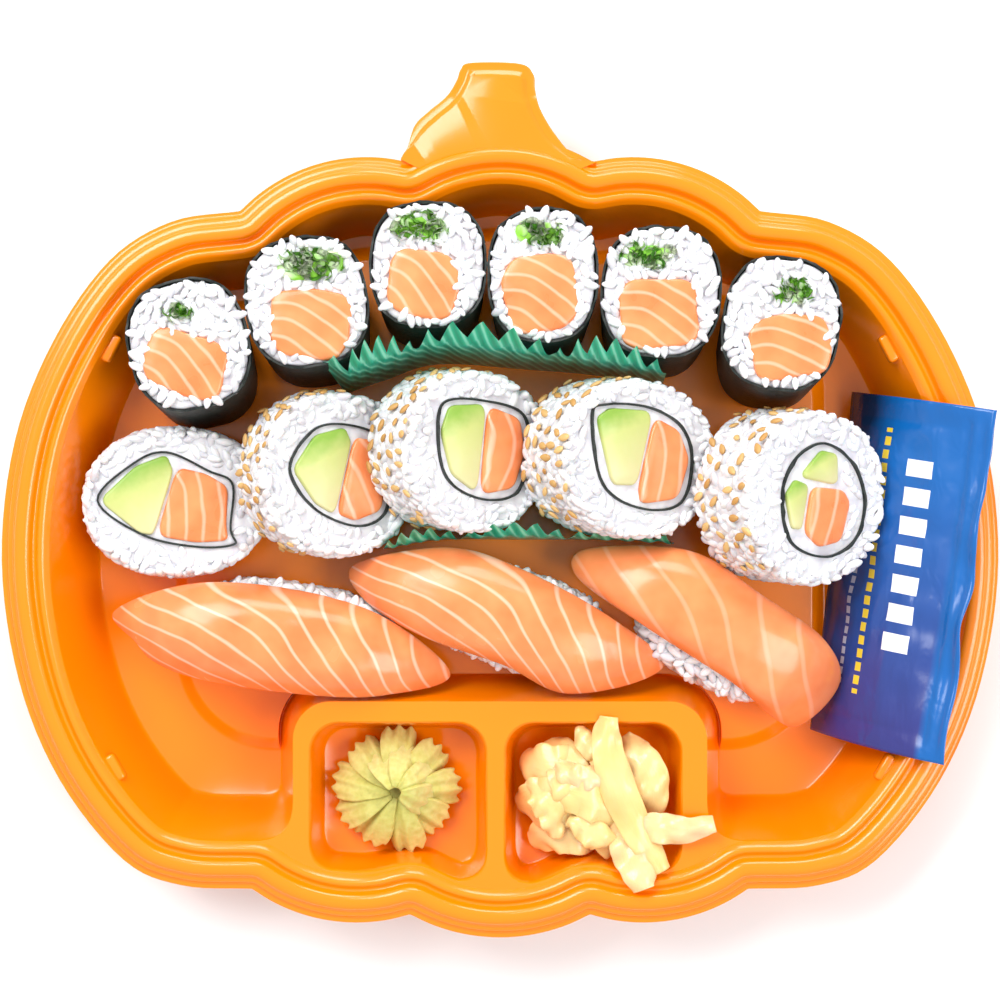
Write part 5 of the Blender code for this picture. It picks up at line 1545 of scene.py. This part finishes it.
class SushiColours(bpy.types.PropertyGroup):
    tray_colour: hex_setting("Tray", "FF8A00", "Colour of the polystyrene")
    tray_deep_colour: hex_setting("Tray deep", "FF8200",
        "Colour of the polystyrene where it is a little deeper")
    rice_colour: hex_setting("Rice", "EEEDEE", "Colour of a plump grain")
    rice_shadow_colour: hex_setting("Rice shadow", "CFCBD2", "Colour of the starch between grains")
    nori_colour: hex_setting("Nori", "0E1512", "Colour of the seaweed")
    nori_light_colour: hex_setting("Nori light", "2A332E", "Colour of the seaweed's crinkles")
    salmon_colour: hex_setting("Salmon", "F9985E", "Colour of the fish")
    salmon_deep_colour: hex_setting("Salmon deep", "F0824A", "Colour of the fish where it is deeper")
    salmon_fat_colour: hex_setting("Salmon fat", "FFDCC4", "Colour of the fat lines")
    onion_colour: hex_setting("Onion", "8FD03C", "Colour of the spring onion")
    onion_dark_colour: hex_setting("Onion dark", "58AC2A", "Colour of the onion's leaf")
    onion_pale_colour: hex_setting("Onion pale", "EDF5DC", "Colour of the onion's stalk")
    avocado_colour: hex_setting("Avocado", "D8D29A", "Colour of the avocado near its stone")
    avocado_mid_colour: hex_setting("Avocado middle", "C6CD7C", "Colour of the avocado's middle")
    avocado_green_colour: hex_setting("Avocado green", "8AB044", "Colour of the avocado near its skin")
    film_colour: hex_setting("Film", "16B088", "Colour of the divider film")
    # The film's crease colour is painted shade and its ridge colour is a painted highlight.
    film_dark_colour: hex_setting("Film crease shade", "0C8F6C", "Colour in the film's creases")
    film_light_colour: hex_setting("Film ridge highlight", "6FD6B4", "Colour on the film's ridges")
    sesame_colour: hex_setting("Sesame", "E3BC7C", "Colour of a pale seed")
    sesame_dark_colour: hex_setting("Sesame dark", "BE8C4A", "Colour of a well toasted seed")
    wasabi_colour: hex_setting("Wasabi", "C3BD64", "Colour of the paste")
    # The hollows' colour is painted shade and the petals' edge colour is painted light.
    wasabi_dark_colour: hex_setting("Wasabi hollow shade", "8F863A", "Colour in the paste's hollows")
    wasabi_light_colour: hex_setting("Wasabi lit tips", "DAD68E", "Colour at the petals' edges")
    ginger_colour: hex_setting("Ginger", "F8DAA0", "Colour of the ginger")
    ginger_deep_colour: hex_setting("Ginger deep", "EFC36C", "Colour of the thicker ginger")
    ginger_pink_colour: hex_setting("Ginger pink", "F9C6AE", "Colour of the ginger's blush")
    print_blue: hex_setting("Print blue", "0B60AC", "Colour of the sachet")
    # The dark field's colour is partly print and partly painted shade.
    print_navy: hex_setting("Print navy and shade", "0E2647", "Colour of the sachet's dark field")
    print_purple: hex_setting("Print purple", "32357E", "Colour of the sachet's lower part")
    print_white: hex_setting("Print white", "F2F4F8", "Colour of the printed bars")
    print_yellow: hex_setting("Print yellow", "E8C83C", "Colour of the printed line")
    floor_colour: hex_setting("Floor", "F4F4F4", "Colour of the floor")


class SushiSizes(bpy.types.PropertyGroup):
    grain_length: bpy.props.FloatProperty(name="Grain length", default=5.0 * MM, min=3 * MM, max=8 * MM,
                                          subtype="DISTANCE", unit="LENGTH",
                                          description="Length of a rice grain")
    grain_width: bpy.props.FloatProperty(name="Grain width", default=2.5 * MM, min=1.5 * MM, max=4 * MM,
                                         subtype="DISTANCE", unit="LENGTH",
                                         description="Width of a rice grain")
    camera_height: bpy.props.FloatProperty(name="Camera height", default=0.628, min=0.3, max=2.0,
                                           subtype="DISTANCE", unit="LENGTH",
                                           description="Height of the camera over the table")
    world_strength: bpy.props.FloatProperty(name="World strength", default=0.68, min=0, max=5,
                                            description="Strength of the white surroundings")
    key_power: bpy.props.FloatProperty(name="Key power", default=14.0, min=0, max=500, subtype="POWER",
                                       unit="POWER", description="Power of the main lamp")
    fill_power: bpy.props.FloatProperty(name="Fill power", default=7.0, min=0, max=500, subtype="POWER",
                                        unit="POWER", description="Power of the lamp on the right")
    back_power: bpy.props.FloatProperty(name="Back power", default=5.0, min=0, max=500, subtype="POWER",
                                        unit="POWER", description="Power of the lamp behind")


def roll_finishes(settings):
    """Materials that several operators share, made once."""
    if "steamed short-grain rice" not in bpy.data.materials:
        rice_material(settings)
        rice_core_material(settings)
        nori_material(settings)
        salmon_material(settings, "raw salmon, cut across", 4.2, 0.16, 0.42, gloss=0.26, bend=4.5)
        salmon_material(settings, "raw salmon slice", 5.0, 0.10, 0.55, gloss=0.2, bend=3.8)
        salmon_material(settings, "raw salmon slice, lean", 8.0, 0.08, 0.22, gloss=0.18, bend=3.5)
        avocado_material(settings)
        onion_material(settings)
    found = bpy.data.materials
    return {"rice": found["steamed short-grain rice"], "core": found["pressed rice mass"],
            "nori": found["roasted nori"], "salmon_cut": found["raw salmon, cut across"],
            "salmon_lined": found["raw salmon slice"], "salmon_plain": found["raw salmon slice, lean"],
            "avocado": found["ripe avocado"], "onion": found["cut spring onion"]}


# ---------------------------------------------------------------- operators

class SUSHI_OT_tray(bpy.types.Operator):
    """Model the formed tray with its rim, wells, stem and lid bumps"""
    bl_idname = "sushi.tray"
    bl_label = "Tray"
    bl_options = {"REGISTER", "UNDO"}

    def execute(self, context):
        colours = context.scene.sushi_colours
        finish = polystyrene_material(colours)
        make_tray(finish)
        make_stem(finish)
        make_nubs(finish)
        return {"FINISHED"}


class SUSHI_OT_thin_rolls(bpy.types.Operator):
    """Model the thin seaweed rolls standing on end"""
    bl_idname = "sushi.thin_rolls"
    bl_label = "Thin rolls"
    bl_options = {"REGISTER", "UNDO"}

    def execute(self, context):
        colours = context.scene.sushi_colours
        sizes = context.scene.sushi_sizes
        finishes = roll_finishes(colours)
        rng = np.random.default_rng(11)
        shape = grain_shape(sizes.grain_length, sizes.grain_width)
        curls = onion_shape()
        all_grains = []
        for number in range(1, len(HOSOMAKI) + 1):
            onion_rings = []
            make_hosomaki(number, finishes, rng, all_grains, onion_rings)
            scattered(f"hosomaki_{number}_onion_curls", curls, onion_rings, finishes["onion"],
                      [f"hosomaki_{number}_onion"])
        scattered("hosomaki_grains", shape, all_grains, finishes["rice"], ["hosomaki_1_rice"])
        shape.free()
        curls.free()
        return {"FINISHED"}


class SUSHI_OT_thick_rolls(bpy.types.Operator):
    """Model the thick rolls with rice and sesame outside"""
    bl_idname = "sushi.thick_rolls"
    bl_label = "Thick rolls"
    bl_options = {"REGISTER", "UNDO"}

    def execute(self, context):
        colours = context.scene.sushi_colours
        sizes = context.scene.sushi_sizes
        finishes = roll_finishes(colours)
        rng = np.random.default_rng(23)
        shape = grain_shape(sizes.grain_length, sizes.grain_width)
        sesame = seed_shape()
        seeds = []
        for number in range(1, len(URAMAKI) + 1):
            grains = []
            make_uramaki(number, finishes, rng, grains, seeds)
            scattered(f"uramaki_{number}_grains", shape, grains, finishes["rice"],
                [f"uramaki_{number}_rice"])
        scattered("sesame_seeds", sesame, seeds, sesame_material(colours), ["uramaki_2_rice"])
        shape.free()
        sesame.free()
        return {"FINISHED"}


class SUSHI_OT_nigiri(bpy.types.Operator):
    """Model the pressed rice with its draped salmon slices"""
    bl_idname = "sushi.nigiri"
    bl_label = "Nigiri"
    bl_options = {"REGISTER", "UNDO"}

    def execute(self, context):
        colours = context.scene.sushi_colours
        sizes = context.scene.sushi_sizes
        finishes = roll_finishes(colours)
        rng = np.random.default_rng(37)
        shape = grain_shape(sizes.grain_length, sizes.grain_width)
        grains = []
        for number in range(1, len(NIGIRI) + 1):
            make_nigiri(number, finishes, rng, grains)
        scattered("nigiri_grains", shape, grains, finishes["rice"], ["nigiri_1_rice"])
        shape.free()
        return {"FINISHED"}


class SUSHI_OT_dividers(bpy.types.Operator):
    """Model the saw-toothed leaf dividers"""
    bl_idname = "sushi.dividers"
    bl_label = "Leaf dividers"
    bl_options = {"REGISTER", "UNDO"}

    def execute(self, context):
        colours = context.scene.sushi_colours
        finish = film_material(colours)
        for name, shape in zip(("divider_back", "divider_front"), DIVIDERS):
            make_divider(name, shape, finish)
        return {"FINISHED"}


class SUSHI_OT_wasabi(bpy.types.Operator):
    """Model the piped wasabi"""
    bl_idname = "sushi.wasabi"
    bl_label = "Wasabi"
    bl_options = {"REGISTER", "UNDO"}

    def execute(self, context):
        colours = context.scene.sushi_colours
        make_wasabi(wasabi_material(colours))
        return {"FINISHED"}


class SUSHI_OT_ginger(bpy.types.Operator):
    """Model the folded slices of pickled ginger"""
    bl_idname = "sushi.ginger"
    bl_label = "Ginger"
    bl_options = {"REGISTER", "UNDO"}

    def execute(self, context):
        colours = context.scene.sushi_colours
        make_ginger(ginger_material(colours))
        return {"FINISHED"}


class SUSHI_OT_sachet(bpy.types.Operator):
    """Model the sauce sachet with its sealed edges"""
    bl_idname = "sushi.sachet"
    bl_label = "Sauce sachet"
    bl_options = {"REGISTER", "UNDO"}

    def execute(self, context):
        colours = context.scene.sushi_colours
        make_sachet(sachet_material(colours))
        return {"FINISHED"}


class SUSHI_OT_stage(bpy.types.Operator):
    """Set up the floor, lamps and camera"""
    bl_idname = "sushi.stage"
    bl_label = "Stage"
    bl_options = {"REGISTER", "UNDO"}

    def execute(self, context):
        colours = context.scene.sushi_colours
        sizes = context.scene.sushi_sizes
        make_stage(floor_material(colours), sizes)
        return {"FINISHED"}


STEPS = ("tray", "thin_rolls", "thick_rolls", "nigiri", "dividers", "wasabi", "ginger", "sachet", "stage")


class SUSHI_PT_panel(bpy.types.Panel):
    """Lists the tray's pieces"""
    bl_label = "Takeaway sushi tray"
    bl_idname = "SUSHI_PT_panel"
    bl_space_type = "VIEW_3D"
    bl_region_type = "UI"
    bl_category = "Sushi"

    def draw(self, context):
        for step in STEPS:
            self.layout.operator("sushi." + step)
        for group in (context.scene.sushi_sizes, context.scene.sushi_colours):
            for name in group.__annotations__:
                self.layout.prop(group, name)


CLASSES = (SushiColours, SushiSizes, SUSHI_OT_tray, SUSHI_OT_thin_rolls, SUSHI_OT_thick_rolls,
    SUSHI_OT_nigiri,
           SUSHI_OT_dividers, SUSHI_OT_wasabi, SUSHI_OT_ginger, SUSHI_OT_sachet, SUSHI_OT_stage,
           SUSHI_PT_panel)


def register():
    for item in CLASSES:
        bpy.utils.register_class(item)
    bpy.types.Scene.sushi_colours = bpy.props.PointerProperty(type=SushiColours)
    bpy.types.Scene.sushi_sizes = bpy.props.PointerProperty(type=SushiSizes)


def unregister():
    del bpy.types.Scene.sushi_sizes
    del bpy.types.Scene.sushi_colours
    for item in reversed(CLASSES):
        bpy.utils.unregister_class(item)


def main():
    register()
    for step in STEPS:
        getattr(bpy.ops.sushi, step)()


if __name__ == "__main__":
    main()
